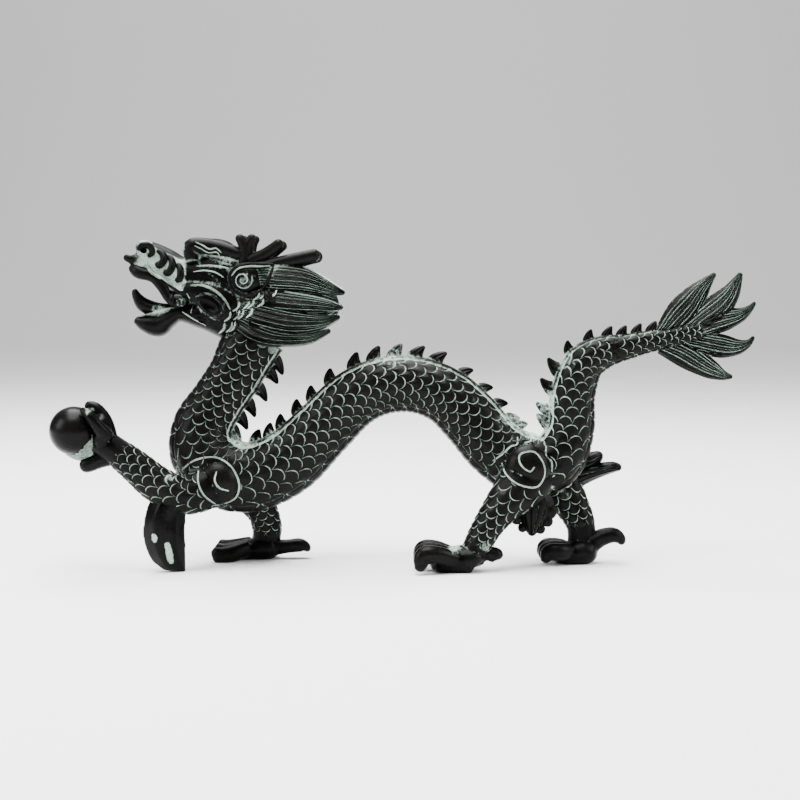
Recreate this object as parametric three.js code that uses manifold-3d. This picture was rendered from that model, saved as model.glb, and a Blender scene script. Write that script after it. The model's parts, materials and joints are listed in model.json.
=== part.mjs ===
// A small cast bronze dragon that walks on three feet and an elbow tuft and lifts a pearl.
// Millimetres, +Z up. The head looks towards -X, the soles lie on Z = 0, and -Y is the pearl side.
import * as THREE from "three";
import { mergeVertices } from "three/addons/utils/BufferGeometryUtils.js";
import Module from "manifold-3d";

const wasm = await Module();
wasm.setup();

// ---- Driving dimensions ----------------------------------------------------

const ACROSS = new THREE.Vector3(0, 1, 0);

// The spine from nape to tail end: X, Z and half the body's height in the plane of the curve.
const SPINE = [
  [-47, 73.5, 9.2], [-50.9, 67.7, 9.1], [-54.4, 60.8, 8.5], [-60.3, 52, 8.4], [-64.8, 44.1, 9.5],
  [-64.6, 36.2, 10.9], [-58.7, 29.6, 11.4], [-49.9, 28, 11], [-38.2, 32.7, 10.5], [-27.2, 43, 9.6],
  [-16.5, 53.2, 9.2], [-7.2, 57.1, 9], [2.6, 57.3, 8.9], [11.9, 53.8, 9], [19.5, 46.9, 9.4],
  [28.6, 36.6, 9.6], [38.4, 31.8, 10.3], [46.8, 33.8, 9.2], [51.6, 43, 7.4], [52.2, 54, 7],
  [55.6, 63.7, 6.4], [61.4, 67.4, 5.3], [67.6, 68.9, 4.2], [76.2, 70.9, 3.4], [85.7, 72.8, 3.2],
  [92.5, 74.4, 2.8],
];
const BODY_ROUNDNESS = 0.9;      // half the width as a share of half the height
const BODY_SIDES = 12;
const RIDGE_DROP = 0.1;          // how far the shoulders of the back lie below its ridge
const BELLY_FLAT = 0.93;         // the belly's middle against a round one

// Back spikes: stretches of the spine, in millimetres from the nape, and the spikes on each.
const SPIKE_ROWS = [
  { from: 4.6, to: 31, count: 6, height: 4.4, length: 5 },
  { from: 67.3, to: 100.9, count: 6, height: 2.9, length: 5.2 },
  { from: 107.4, to: 127, count: 5, height: 3.5, length: 5.6 },
  { from: 134, to: 158, count: 5, height: 2.7, length: 4.6 },
  { from: 189, to: 205, count: 4, height: 4.2, length: 5.4 },
  { from: 209.5, to: 232.8, count: 6, height: 2.6, length: 4.4 },
];
const SPIKE_THICK = 0.8;

const PEARL = { at: [-102.5, -15, 44], radius: 7.5 };
const SHOULDER = { at: [-59.2, 27.4], radius: 6.2 };
const HIP = { at: [37.4, 31.8], radius: 6.8 };
const BOSS_FACE = 13;            // how far out of the middle plane the spiral bosses reach
const BOSS_DEEP = 4.4;
const HEAD_HALF = 8;             // half the width over the eyes
const GROUND = { length: 400, width: 200, depth: 40 };

// ---- Solids ----------------------------------------------------------------

const vec = (x, y, z) => new THREE.Vector3(x, y, z);

// manifold-3d needs a closed mesh with its shared vertices merged.
function solidOf(geometry) {
  const bare = geometry.clone();
  bare.deleteAttribute("normal");
  bare.deleteAttribute("uv");
  const closed = mergeVertices(bare, 1e-4);
  return new wasm.Manifold(new wasm.Mesh({
    numProp: 3,
    vertProperties: Float32Array.from(closed.attributes.position.array),
    triVerts: Uint32Array.from(closed.index.array),
  }));
}

function join(solids) {
  return solids.reduce((whole, solid) => whole.add(solid));
}

function middleOf(points) {
  const sum = points.reduce((total, point) => total.add(point), vec(0, 0, 0));
  return sum.divideScalar(points.length);
}

// A closed skin over rings of equally many points, with a fan of triangles over each end.
function skinOver(rings) {
  const sides = rings[0].length;
  const last = (rings.length - 1) * sides;
  const points = rings.flat();
  const tail = points.length;
  points.push(middleOf(rings[0]), middleOf(rings.at(-1)));
  const index = [];
  for (let side = 0; side < sides; side += 1) {
    const next = (side + 1) % sides;
    index.push(tail, side, next);
    index.push(tail + 1, last + next, last + side);
    for (let row = 0; row < last; row += sides) {
      index.push(row + side, row + sides + side, row + next);
      index.push(row + next, row + sides + side, row + sides + next);
    }
  }
  const geometry = new THREE.BufferGeometry().setFromPoints(points);
  geometry.setIndex(index);
  return solidOf(geometry);
}

// Sections are unit outlines: [across, upward] for each side, running the same way round.
function oval(sides) {
  return Array.from({ length: sides }, (_, side) => {
    const turn = (2 * Math.PI * side) / sides;
    return [Math.sin(turn), Math.cos(turn)];
  });
}

// The same with a flat side below, for what lies on the ground.
function flatOval(sides) {
  return Array.from({ length: sides }, (_, side) => {
    const turn = (2 * Math.PI * (side + 0.5)) / sides;
    return [Math.sin(turn), Math.cos(turn)];
  });
}

// A flat section whose two broad faces carry grooves that run along the sweep.
function grooved(sides, grooves, depth) {
  return oval(sides).map(([across, upward]) => {
    const wave = 1 + depth * Math.cos(grooves * Math.PI * upward);
    return [across * wave, upward];
  });
}

// The body's section: a ridge along the back, round flanks and a flattened belly.
function bodySection(sides) {
  return oval(sides).map(([across, upward]) => {
    const ridge = upward > 0.99 ? 1 : 1 - RIDGE_DROP * Math.max(0, upward);
    const belly = upward < -0.8 ? BELLY_FLAT : 1;
    return [across * BODY_ROUNDNESS, upward * ridge * belly];
  });
}

// A tapering limb through stations of [x, y, z, half width, half height]. The width lies along
// `across`, and the height at right angles to it and to the path.
function limb(stations, { section = oval(8), steps = 2, across = ACROSS } = {}) {
  const path = new THREE.CatmullRomCurve3(stations.map(([x, y, z]) => vec(x, y, z)));
  const sizes = new THREE.CatmullRomCurve3(stations.map(([, , , wide, high]) => vec(wide, high, 0)));
  const total = (stations.length - 1) * steps;
  const rings = [];
  for (let step = 0; step <= total; step += 1) {
    const centre = path.getPoint(step / total);
    const along = path.getTangent(step / total);
    const size = sizes.getPoint(step / total);
    const side = across.clone().addScaledVector(along, -across.dot(along)).normalize();
    const upward = along.clone().cross(side);
    rings.push(section.map(([out, up]) => centre.clone()
      .addScaledVector(side, out * size.x)
      .addScaledVector(upward, up * size.y)));
  }
  return skinOver(rings);
}

function ball([x, y, z], [rx, ry, rz], around = 10, down = 7) {
  const geometry = new THREE.SphereGeometry(1, around, down);
  return solidOf(geometry.scale(rx, ry, rz).translate(x, y, z));
}

const mirrored = (stations) => stations.map(([x, y, ...rest]) => [x, -y, ...rest]);

function bothSides(make) {
  return [make((stations) => stations), make(mirrored)];
}

// ---- Body and back spikes --------------------------------------------------

const spinePath = new THREE.CatmullRomCurve3(SPINE.map(([x, z]) => vec(x, 0, z)));
spinePath.arcLengthDivisions = 400;
const spineSizes = new THREE.CatmullRomCurve3(SPINE.map(([, , half]) => vec(half, 0, 0)));

// The frame of the spine at a distance from the nape.
function spineAt(distance) {
  const share = spinePath.getUtoTmapping(0, distance);
  const along = spinePath.getTangent(share);
  return {
    centre: spinePath.getPoint(share),
    along,
    back: along.clone().cross(ACROSS),
    half: spineSizes.getPoint(share).x,
  };
}

function body() {
  const stations = SPINE.map(([x, z, half]) => [x, 0, z, half, half]);
  return limb(stations, { section: bodySection(BODY_SIDES), steps: 2 });
}

// A flame-like spike: a thin blade that stands on the ridge and leans towards the tail.
function spike(distance, height, length) {
  const { centre, along, back, half } = spineAt(distance);
  const place = (forward, up) => centre.clone()
    .addScaledVector(along, forward)
    .addScaledVector(back, half + up)
    .toArray();
  return limb([
    [...place(-0.06 * length, -0.5 * height), SPIKE_THICK * 1.8, length * 0.56],
    [...place(0.08 * length, 0.4 * height), SPIKE_THICK * 1.2, length * 0.34],
    [...place(0.42 * length, height), SPIKE_THICK / 2, length * 0.08],
  ], { section: oval(4), steps: 1 });
}

function spikes() {
  return SPIKE_ROWS.flatMap(({ from, to, count, height, length }) =>
    Array.from({ length: count }, (_, place) =>
      spike(from + ((to - from) * place) / (count - 1), height, length)));
}

// ---- Head ------------------------------------------------------------------

function skull() {
  return limb([
    [-86, 0, 97.3, 3.4, 3.6], [-82.5, 0, 96.6, 4.7, 6], [-77, 0, 94.6, 5, 6], [-71.5, 0, 92, 5.8, 5.8],
    [-65, 0, 90.5, 7.2, 8.5], [-58, 0, 90, HEAD_HALF, 11.5], [-50, 0, 86.5, HEAD_HALF, 12.6],
    [-43, 0, 83, 7.4, 11.5], [-38, 0, 82, 5.5, 9],
  ], { section: oval(10), steps: 1 });
}

// Where the neck runs up into the head and the mane.
function nape() {
  return ball([-48, 0, 77.5], [8, 7.4, 7]);
}

function lowerJaw() {
  return limb([
    [-85.8, 0, 77.8, 2.8, 1.2], [-82.6, 0, 76.6, 3.8, 2.8], [-78.6, 0, 76.2, 4.4, 3.8],
    [-75.6, 0, 77.8, 4.8, 3], [-72, 0, 79.6, 5, 2.6], [-66, 0, 79.5, 6.2, 4.4],
    [-58, 0, 80, 7.4, 8.5], [-50, 0, 80, 7.4, 9],
  ], { section: oval(10), steps: 1 });
}

function tongue() {
  return limb([
    [-74, 0, 81.3, 3, 1.5], [-79, 0, 81.4, 3, 2], [-83, 0, 82.4, 2.9, 2.4],
    [-85.2, 0, 85, 2.4, 1.6], [-86.2, 0, 87.6, 1.4, 0.8],
  ], { section: oval(6), steps: 1 });
}

function nostrils() {
  return bothSides((side) => limb(side([
    [-80, -2.6, 99.6, 2, 2.6], [-82.6, -3.2, 100, 2.4, 2.7], [-84.8, -3, 99.2, 2, 2.3],
  ]), { section: oval(6), steps: 1 }));
}

function upperLips() {
  return bothSides((side) => limb(side([
    [-86.2, -2.6, 94.6, 1.5, 1.6], [-84.2, -4, 92.8, 1.9, 2.1], [-79.6, -4.9, 91.4, 1.6, 1.8],
    [-76.6, -5.2, 88.2, 1.5, 1.7], [-74, -5.4, 84.4, 1.5, 1.7], [-70, -6, 83.2, 1.8, 2.4],
  ]), { section: oval(6), steps: 1 }));
}

function whiskers() {
  return bothSides((side) => limb(side([
    [-84.5, -3.4, 97, 1.3, 1.6], [-86.8, -4, 96.8, 1.1, 1.3], [-88.6, -4.2, 97.8, 0.9, 1],
  ]), { section: oval(6), steps: 1 }));
}

// The rolled brow and the knot of hair between the horns.
function brows() {
  const near = bothSides((side) => limb(side([
    [-67.4, -4.2, 96.8, 2.4, 2.2], [-67.6, -4.4, 100.4, 2.6, 2.6], [-63.4, -4.6, 100.8, 2.6, 2.6],
    [-57, -5.2, 99.6, 2.4, 2.4], [-51, -6, 97.6, 1.8, 1.8],
  ]), { section: oval(6), steps: 1 }));
  return [...near, ball([-61.4, 0, 99.8], [7.4, 4.6, 3.6])];
}

function eyes() {
  return bothSides((side) => limb(side([
    [-55.6, -7.2, 91.4, 1.8, 1.4], [-51.6, -8, 90.2, 2.2, 3.8], [-46.4, -8.2, 91.2, 1.8, 3.6],
    [-41.4, -8, 94.6, 0.9, 0.9],
  ]), { section: oval(8), steps: 1 }));
}

// One antler: a forked front prong, a middle one and a long back one.
function antler(side) {
  const prongs = [
    [[-50.6, -5.2, 95, 2.3, 2.4], [-50.4, -5.6, 99.6, 2, 2.1], [-53, -6, 104.4, 1.1, 1.2]],
    [[-50, -5.4, 99, 1.7, 1.8], [-49.2, -5.8, 102, 1.5, 1.6], [-47.6, -6, 104.4, 1.1, 1.2]],
    [[-49, -6, 96, 1.9, 2.1], [-44, -6.6, 98.4, 1.7, 1.9], [-38.8, -7.2, 102.2, 1.4, 1.6]],
    [[-47, -6.6, 93.6, 2, 2.2], [-37, -7.4, 96, 2, 2.2], [-27.2, -8, 98.2, 1.8, 2]],
  ];
  return prongs.map((stations) => limb(side(stations), { section: oval(5), steps: 1 }));
}

function horns() {
  return bothSides((side) => antler(side)).flat();
}

// The mane: grooved locks that fan out behind the cheek, the outer ones on both sides.
function mane() {
  const flank = [
    [[-50, -4.6, 90.6, 2, 2.6], [-43, -7.2, 91.2, 2.6, 4.4], [-33, -7.8, 90.4, 2.6, 4.2],
      [-25, -6.8, 87.8, 1.8, 2.4], [-20, -5.8, 86.2, 0.7, 0.8]],
    [[-50, -5, 84.6, 2.2, 2.6], [-43, -8.2, 84.2, 3, 3.4], [-32, -8.6, 83, 2.8, 2.9],
      [-25, -7.6, 82.2, 1.9, 2], [-20.6, -6.6, 81.6, 0.7, 0.8]],
    [[-52, -5.4, 80.8, 2.2, 2.8], [-45, -8.4, 79.2, 3.2, 4], [-35, -8.6, 77.2, 3, 3.8],
      [-27, -7.2, 77.2, 1.9, 2.4], [-21.6, -6.2, 78.8, 0.7, 0.8]],
    [[-53, -5, 77, 2.2, 2.6], [-47, -7.6, 73.8, 2.8, 3.4], [-39, -7.6, 71.9, 2.6, 2.6],
      [-31, -6.4, 72, 1.6, 1.9], [-24.6, -5.6, 74.4, 0.6, 0.8]],
  ];
  const middle = [
    [-47, 0, 83, 8, 12.4], [-34, 0, 82.4, 7, 10.8], [-27, 0, 82.2, 4.6, 7.4], [-21.6, 0, 82.6, 1.4, 3.2],
  ];
  const section = grooved(8, 3, 0.18);
  return [
    ...bothSides((side) => flank.map((stations) => limb(side(stations), { section, steps: 1 }))).flat(),
    limb(middle, { section: oval(8), steps: 1 }),
  ];
}

// ---- Legs ------------------------------------------------------------------

// A round cushion over a shoulder or hip, alike on both sides.
function bosses({ at: [x, z], radius }) {
  return [-1, 1].map((sign) => {
    const middle = [x, sign * (BOSS_FACE - BOSS_DEEP), z];
    return ball(middle, [radius, BOSS_DEEP, radius], 10, 4);
  });
}

// A foot flat on the ground: three curled toes with claws ahead of the ankle, one behind.
function foot({ ankle: [x, y], reach, knuckle, sole, splay, rear }) {
  const tip = x - reach;
  const pad = limb([
    [x + sole, y, 2.2, 4.4, 2.8], [x, y, 3.6, 5.4, 4.6], [x - reach * 0.45, y, 3.4, 5.2, 4.2],
    [tip + 5.4, y, 3.2, 4.6, 3.6],
  ], { section: flatOval(8), steps: 1 });
  const toes = [-1, 0, 1].map((spread) => limb([
    [x - reach * 0.3, y + spread * splay * 0.5, 4, 2.2, 2.6],
    [tip + 6.8, y + spread * splay * 0.86, knuckle - 2.9, 2.5, 2.6],
    [tip + 3.2, y + spread * splay * 0.95, knuckle - 3.4, 2.2, 2.5],
    [tip + 1.6, y + spread * splay, 1.2, 0.9, 1],
  ], { section: oval(6), steps: 1 }));
  const heel = limb(rear.map(([dx, z, size]) => [x + dx, y, z, size, size]),
    { section: oval(6), steps: 1 });
  return [pad, ...toes, heel];
}

function nearHindLeg() {
  const thigh = limb([
    [41, -5.4, 33, 5, 8.6], [36, -7.6, 27, 5.6, 8.2], [29.8, -10.4, 20.6, 5, 5.9],
    [25.2, -12, 14.8, 4.4, 4.7], [22, -12.4, 9.2, 4.2, 4.3], [19.6, -12.4, 4, 4.2, 4.2],
  ], { section: oval(8) });
  const tuft = limb([
    [38.4, -7.4, 25, 1.6, 3], [39.4, -8, 20.6, 2.2, 6.2], [39.2, -8.4, 17, 2, 5.2],
    [38.9, -8.6, 13.6, 1.4, 3.2], [38.6, -8.6, 10.4, 0.5, 0.7],
  ], { section: grooved(8, 3, 0.14), steps: 1 });
  const toes = foot({
    ankle: [21, -12.4], reach: 19.4, knuckle: 9.8, sole: 1.6, splay: 6.6,
    rear: [[0, 3.6, 2.6], [3.4, 5.2, 1.7], [5.6, 4.8, 2], [6.6, 4.6, 2.1]],
  });
  return [thigh, tuft, ...toes];
}

function farHindLeg() {
  const thigh = limb([
    [42, 4, 32, 5, 8], [47.6, 5, 26, 5.2, 7.4], [52.2, 5, 19, 4.4, 5.6], [55.4, 4.6, 12.4, 4, 4.6],
    [56, 4, 5, 4, 4.6],
  ], { section: oval(8) });
  const tuft = [
    [[52, 4.6, 31, 2.4, 4.4], [58.6, 5, 32.8, 2, 3], [62.4, 5, 35, 1.1, 1.3]],
    [[52, 4.6, 27.4, 2.4, 4.6], [60, 5, 29.4, 2, 2.7], [66, 5.2, 30.6, 1.7, 1.8],
      [68.6, 5.4, 30.4, 0.9, 1]],
  ].map((stations) => limb(stations, { section: grooved(8, 3, 0.14), steps: 1 }));
  const toes = foot({
    ankle: [56, 3], reach: 14.4, knuckle: 8.6, sole: 4.6, splay: 6.2,
    rear: [[1, 5, 3.4], [6, 8.2, 2.9], [10.2, 8.9, 2.5], [12.2, 7.4, 1.8], [12.5, 5.6, 0.8]],
  });
  return [thigh, ...tuft, ...toes];
}

function farFrontLeg() {
  const shin = limb([
    [-56, 5.4, 30, 5, 8], [-51.6, 8, 22.6, 4.8, 6.8], [-47.4, 10.6, 16, 4.3, 5],
    [-45.8, 12, 10, 4.2, 4.7], [-46.4, 12.4, 4, 4.4, 4.6],
  ], { section: oval(8) });
  const toes = foot({
    ankle: [-46.4, 12.4], reach: 17, knuckle: 7.2, sole: 4.8, splay: 8.8,
    rear: [[2, 3.4, 2.8], [7.4, 3.9, 2.3], [11.4, 4.2, 2.3], [13.4, 3.2, 1.7], [13.4, 1.9, 0.9]],
  });
  return [shin, ...toes];
}

// The raised arm, its open paw and the pearl it holds out.
function pearlArm() {
  const arm = limb([
    [-56, -5.4, 30, 5, 7], [-62.6, -8.4, 25.6, 5.2, 6.6], [-70.4, -11.6, 23.8, 5, 6],
    [-77.4, -13.6, 27.4, 4.7, 5.6], [-83.6, -14.6, 32.8, 4.3, 5], [-89.6, -15, 37.6, 4.3, 4.4],
    [-94.6, -15, 41, 4.6, 4.4],
  ], { section: oval(8) });
  const fingers = [
    [[-90.6, -15, 41, 2.4, 2.6], [-92.2, -15, 47.4, 2.1, 2.3], [-95.4, -15, 51.2, 1.8, 2],
      [-98.8, -15, 52.2, 1.2, 1.3]],
    [[-91.6, -12, 41, 2.2, 2.4], [-96, -8.8, 45.4, 1.6, 1.8], [-101, -8.2, 48, 0.9, 1]],
    [[-91.4, -18.2, 41.4, 2.2, 2.4], [-94.8, -20.6, 44.6, 1.8, 2], [-98.2, -21.1, 48, 1.4, 1.6],
      [-101.6, -19.8, 50.2, 0.8, 0.9]],
    [[-89.6, -15, 36.6, 3, 3.8], [-94, -15, 34.2, 2.7, 2.8], [-97.8, -15, 32.6, 2.3, 2.3],
      [-100.2, -15, 32.2, 1.8, 1.9]],
  ];
  return [
    arm,
    ball([-93.6, -15, 43], [3.6, 5.6, 6.6], 10, 6),
    ball(PEARL.at, Array(3).fill(PEARL.radius), 12, 8),
    ...fingers.map((stations) => limb(stations, { section: oval(6), steps: 1 })),
  ];
}

// The hair behind the elbow, cast long enough to reach the ground and carry the arm.
function elbowTuft() {
  const lobes = [
    [[-73.4, -13, 23, 3.4, 5.6], [-75.6, -13.4, 17.4, 3.6, 5.8], [-75.6, -13.4, 12, 3.8, 6.6],
      [-75, -13.2, 7.4, 3.6, 6], [-73.4, -12.8, 3.8, 3, 4.6], [-70.9, -12, 1, 2, 2],
      [-69.6, -11.8, -1, 1, 0.9]],
    [[-72, -12, 23, 3, 4], [-72.4, -12.6, 14, 3.2, 3.5], [-71.6, -12.6, 8, 3, 2.8],
      [-70.6, -12.2, 3, 2.2, 1.7], [-69.9, -11.8, -1, 1.2, 1]],
  ];
  return lobes.map((stations) => limb(stations, { section: grooved(8, 2, 0.1), steps: 1 }));
}

// ---- Tail ------------------------------------------------------------------

// Five flame fins, fanned in the middle plane, each with grooves along it.
function tailFins() {
  const flames = [
    [[79, 0, 71.5, 1.8, 2.6], [86, 0, 79.6, 1.6, 4.9], [91, 0, 86, 1.3, 3.6], [96.8, 0, 92.4, 0.5, 0.6]],
    [[86, 0, 73, 1.8, 3], [96.4, 0, 80.6, 1.6, 4.6], [101.4, 0, 86, 1.2, 3.2],
      [104.8, 0, 92.6, 0.5, 0.7]],
    [[90, 0, 74.2, 1.8, 3], [99.6, 0, 77.8, 1.5, 3.6], [105.2, 0, 79.6, 1.1, 2.2],
      [109.4, 0, 83.4, 0.5, 0.5]],
    [[88, 0, 71.6, 1.8, 3], [98.6, 0, 69.6, 1.5, 3.8], [104.6, 0, 69.4, 1.1, 2.4],
      [109.2, 0, 72.6, 0.5, 0.5]],
    [[80, 0, 70, 1.8, 3], [88.4, 0, 66.4, 1.5, 4.2], [96, 0, 62, 1.1, 3], [102.6, 0, 59.8, 0.5, 0.6]],
  ];
  return flames.map((stations) => limb(stations, { section: grooved(8, 3, 0.2) }));
}

// ---- The casting -----------------------------------------------------------

// Everything below the ground plane goes, which leaves the soles flat.
function ground() {
  const slab = new THREE.BoxGeometry(GROUND.length, GROUND.width, GROUND.depth);
  return solidOf(slab.translate(0, 0, -GROUND.depth / 2));
}

function casting() {
  const solids = [
    body(), ...spikes(), skull(), nape(), lowerJaw(), tongue(), ...nostrils(), ...upperLips(), ...whiskers(),
    ...brows(), ...eyes(), ...horns(), ...mane(),
    ...bosses(SHOULDER), ...bosses(HIP),
    ...nearHindLeg(), ...farHindLeg(), ...farFrontLeg(), ...pearlArm(), ...elbowTuft(), ...tailFins(),
  ];
  return join(solids).subtract(ground());
}

function geometryOf(solid) {
  const mesh = solid.getMesh();
  const geometry = new THREE.BufferGeometry();
  geometry.setAttribute("position", new THREE.BufferAttribute(mesh.vertProperties, mesh.numProp));
  geometry.setIndex(new THREE.BufferAttribute(mesh.triVerts, 1));
  return geometry;
}

const bronze = new THREE.MeshStandardMaterial({ color: 0x2b2724, roughness: 0.5, metalness: 0.8 });
const dragon = new THREE.Mesh(geometryOf(casting()), bronze);
dragon.name = "dragon";

const sculpture = new THREE.Group();
sculpture.add(dragon);
export default sculpture;
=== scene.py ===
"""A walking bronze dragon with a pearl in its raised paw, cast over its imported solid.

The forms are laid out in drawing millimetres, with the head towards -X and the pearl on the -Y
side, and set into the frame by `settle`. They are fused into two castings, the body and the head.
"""

import json
import math

import bpy
import numpy as np
from bpy.props import FloatProperty, FloatVectorProperty, IntProperty, PointerProperty
from bpy.types import Operator, Panel, PropertyGroup
from mathutils.bvhtree import BVHTree
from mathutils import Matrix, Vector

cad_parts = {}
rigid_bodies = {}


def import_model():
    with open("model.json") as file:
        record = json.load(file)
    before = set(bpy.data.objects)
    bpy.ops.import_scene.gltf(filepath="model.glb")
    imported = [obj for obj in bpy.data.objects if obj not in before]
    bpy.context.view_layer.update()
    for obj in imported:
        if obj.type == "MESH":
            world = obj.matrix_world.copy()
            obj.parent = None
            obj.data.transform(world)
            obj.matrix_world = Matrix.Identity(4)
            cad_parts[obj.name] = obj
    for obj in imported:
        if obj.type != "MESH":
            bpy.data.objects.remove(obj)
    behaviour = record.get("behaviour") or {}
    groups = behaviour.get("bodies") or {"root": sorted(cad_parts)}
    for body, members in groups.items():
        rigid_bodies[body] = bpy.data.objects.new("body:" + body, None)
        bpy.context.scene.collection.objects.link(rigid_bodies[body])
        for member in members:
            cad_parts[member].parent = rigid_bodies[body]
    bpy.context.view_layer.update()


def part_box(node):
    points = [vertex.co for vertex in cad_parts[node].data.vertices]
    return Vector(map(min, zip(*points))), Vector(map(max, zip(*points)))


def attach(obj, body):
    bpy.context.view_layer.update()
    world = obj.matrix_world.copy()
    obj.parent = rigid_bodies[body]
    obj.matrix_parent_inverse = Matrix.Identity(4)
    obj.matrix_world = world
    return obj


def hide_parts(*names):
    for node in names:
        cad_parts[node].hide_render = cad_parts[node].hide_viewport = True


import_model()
NODE_LOW, NODE_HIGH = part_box("dragon")

bl_info = {
    "name": "Bronze dragon",
    "version": (1, 0, 0),
    "blender": (4, 5, 0),
    "location": "View3D > Sidebar > Bronze dragon",
    "description": "Models, fuses and patinates a small cast bronze dragon",
    "category": "Add Mesh",
}

# ---- Drawing sizes, in millimetres -----------------------------------------

BRONZE = "patinated_bronze"
DRAWN_LENGTH = 219.9
MM = (NODE_HIGH.x - NODE_LOW.x) / DRAWN_LENGTH
MIDDLE = np.array([(NODE_LOW.x + NODE_HIGH.x) / 2, (NODE_LOW.y + NODE_HIGH.y) / 2, NODE_LOW.z])
ACROSS = np.array([0.0, 1.0, 0.0])
SIDES = (("near", -1), ("far", 1))
MARKS = ("line", "bloom_and_highlight", "gloss", "made")
FORMS = "casting forms"
CUTS = "casting cuts"

# The spine from nape to tail end: X, Z and half the body's height in the plane of the curve.
SPINE = [
    (-47, 73.5, 9.2), (-50.9, 67.7, 9.1), (-54.4, 60.8, 8.5), (-60.3, 52, 8.4), (-64.8, 44.1, 9.5),
    (-64.6, 36.2, 10.9), (-58.7, 29.6, 11.4), (-49.9, 28, 11), (-38.2, 32.7, 10.5),
    (-27.2, 43, 9.6), (-16.5, 53.2, 9.2), (-7.2, 57.1, 9), (2.6, 57.3, 8.9), (11.9, 53.8, 9),
    (19.5, 46.9, 9.4), (28.6, 36.6, 9.6), (38.4, 31.8, 10.3), (46.8, 33.8, 9.2), (51.6, 43, 7.4),
    (52.2, 54, 7), (55.6, 63.7, 6.4), (61.4, 67.4, 5.3), (67.6, 68.9, 4.2), (76.2, 70.9, 3.4),
    (85.7, 72.8, 3.2), (92.5, 74.4, 2.8),
]
BODY_ROUNDNESS = 0.92
BODY_END = 172.0         # how far along the spine the body's skin runs under the tail's
TAIL_START = 157.0

PEARL = (-102.5, -15.0, 44.0)
PEARL_RADIUS = 7.5
SHOULDER = (-59.2, 27.4)
SHOULDER_RADIUS = 6.9
HIP = (37.4, 31.8)
HIP_RADIUS = 7.3
BOSS_FACE = 13.0
BOSS_DEEP = 4.8
# Round patches without scales, as X, Z and radius.
BARE = [(*SHOULDER, SHOULDER_RADIUS + 0.3), (*HIP, HIP_RADIUS + 0.3)]
HEAD_HALF = 8.0
DARK = -0.7              # a low mark that keeps the pale colour off

# Back spikes: stretches of the spine, in millimetres from the nape, and the spikes on each.
SPIKE_ROWS = [
    (4.6, 31, 6, 4.4, 5.0),
    (67.3, 100.9, 6, 2.9, 5.2),
    (107.4, 127, 5, 3.5, 5.6),
    (134, 158, 5, 2.7, 4.6),
    (189, 205, 4, 4.2, 5.4),
    (209.5, 232.8, 6, 2.6, 4.4),
]


# ---- Curves and skins ------------------------------------------------------


def through(points, shares, even=False):
    """Smooth curve through the points at shares from 0 to len - 1: places and slopes."""
    points = np.asarray(points, float)
    shares = np.asarray(shares, float)
    ends = np.vstack([2 * points[0] - points[1], points, 2 * points[-1] - points[-2]])
    span = np.clip(np.floor(shares).astype(int), 0, len(points) - 2)
    t = (shares - span)[:, None]
    a, b, c, d = (ends[span + step] for step in range(4))

    def gap(p, q):
        if even:
            return np.ones((len(span), 1))
        return np.maximum(np.linalg.norm(q - p, axis=1, keepdims=True) ** 0.5, 1e-3)

    before, here, after = gap(a, b), gap(b, c), gap(c, d)
    leave = ((b - a) / before - (c - a) / (before + here) + (c - b) / here) * here
    arrive = ((c - b) / here - (d - b) / (here + after) + (d - c) / after) * here
    bend = -3 * b + 3 * c - 2 * leave - arrive
    twist = 2 * b - 2 * c + leave + arrive
    place = b + leave * t + bend * t**2 + twist * t**3
    slope = leave + 2 * bend * t + 3 * twist * t**2
    return place, slope


def unit(vectors):
    return vectors / np.maximum(np.linalg.norm(vectors, axis=-1, keepdims=True), 1e-12)


def rails(stations, shares):
    """Centre, along, side, up and half sizes of a limb at the shares of its stations."""
    stations = np.asarray(stations, float)
    centre, slope = through(stations[:, :3], shares)
    size, _ = through(stations[:, 3:5], shares, even=True)
    along = unit(slope)
    side = unit(ACROSS - along * (along @ ACROSS)[:, None])
    up = np.cross(along, side)
    return centre, along, side, up, np.maximum(size, 0.05)


def distances(stations, shares):
    centre, _ = through(np.asarray(stations, float)[:, :3], shares)
    steps = np.linalg.norm(np.diff(centre, axis=0), axis=1)
    return np.concatenate([[0], np.cumsum(steps)])


CAP_STEPS = np.array([0.03, 0.16, 0.36, 0.62, 1.0])    # rings in a rounded end, in its radius


def cap_shrink(distance, size):
    """How much of its full size a ring has at a distance from a rounded end."""
    inside = np.clip(distance / size, 0, 1)
    return np.sqrt(np.maximum(1 - (1 - inside) ** 2, 0))


def rounded_shares(stations, fineness, round_start=False):
    """Shares for the rings, closer together at rounded ends, and each ring's shrinkage there."""
    last = len(stations) - 1
    fine = np.linspace(0, last, last * 40 + 1)
    run = distances(stations, fine)
    places = np.interp(np.linspace(0, last, last * fineness + 1), fine, run)
    start_size, end_size = min(stations[0][3:5]), min(stations[-1][3:5])
    if round_start:
        places = np.concatenate([places[places > start_size], start_size * CAP_STEPS])
    places = np.concatenate([places[places < run[-1] - end_size], run[-1] - end_size * CAP_STEPS])
    places = np.unique(np.round(places, 5))
    shrink = cap_shrink(run[-1] - places, end_size)
    if round_start:
        shrink = cap_shrink(places, start_size) * shrink
    return np.interp(places, run, fine), shrink


def oval(turn, share):
    return np.sin(turn) + 0 * share, np.cos(turn) + 0 * share


def grooved(count, depth, wander=0.25):
    """A flat section whose two broad faces carry grooves that run along the limb."""

    def section(turn, share):
        upward = np.cos(turn) + 0 * share
        sway = wander * np.sin(5.2 * share + count)
        wave = np.cos(count * math.pi * (upward + 0.12 * sway))
        return np.sin(turn) * (1 + depth * wave), upward

    return section


def settle(points):
    """Drawing millimetres to metres in the frame."""
    return np.asarray(points, float) * MM + MIDDLE


def collection(name):
    found = bpy.data.collections.get(name)
    if found is None:
        found = bpy.data.collections.new(name)
        bpy.context.scene.collection.children.link(found)
    return found


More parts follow.
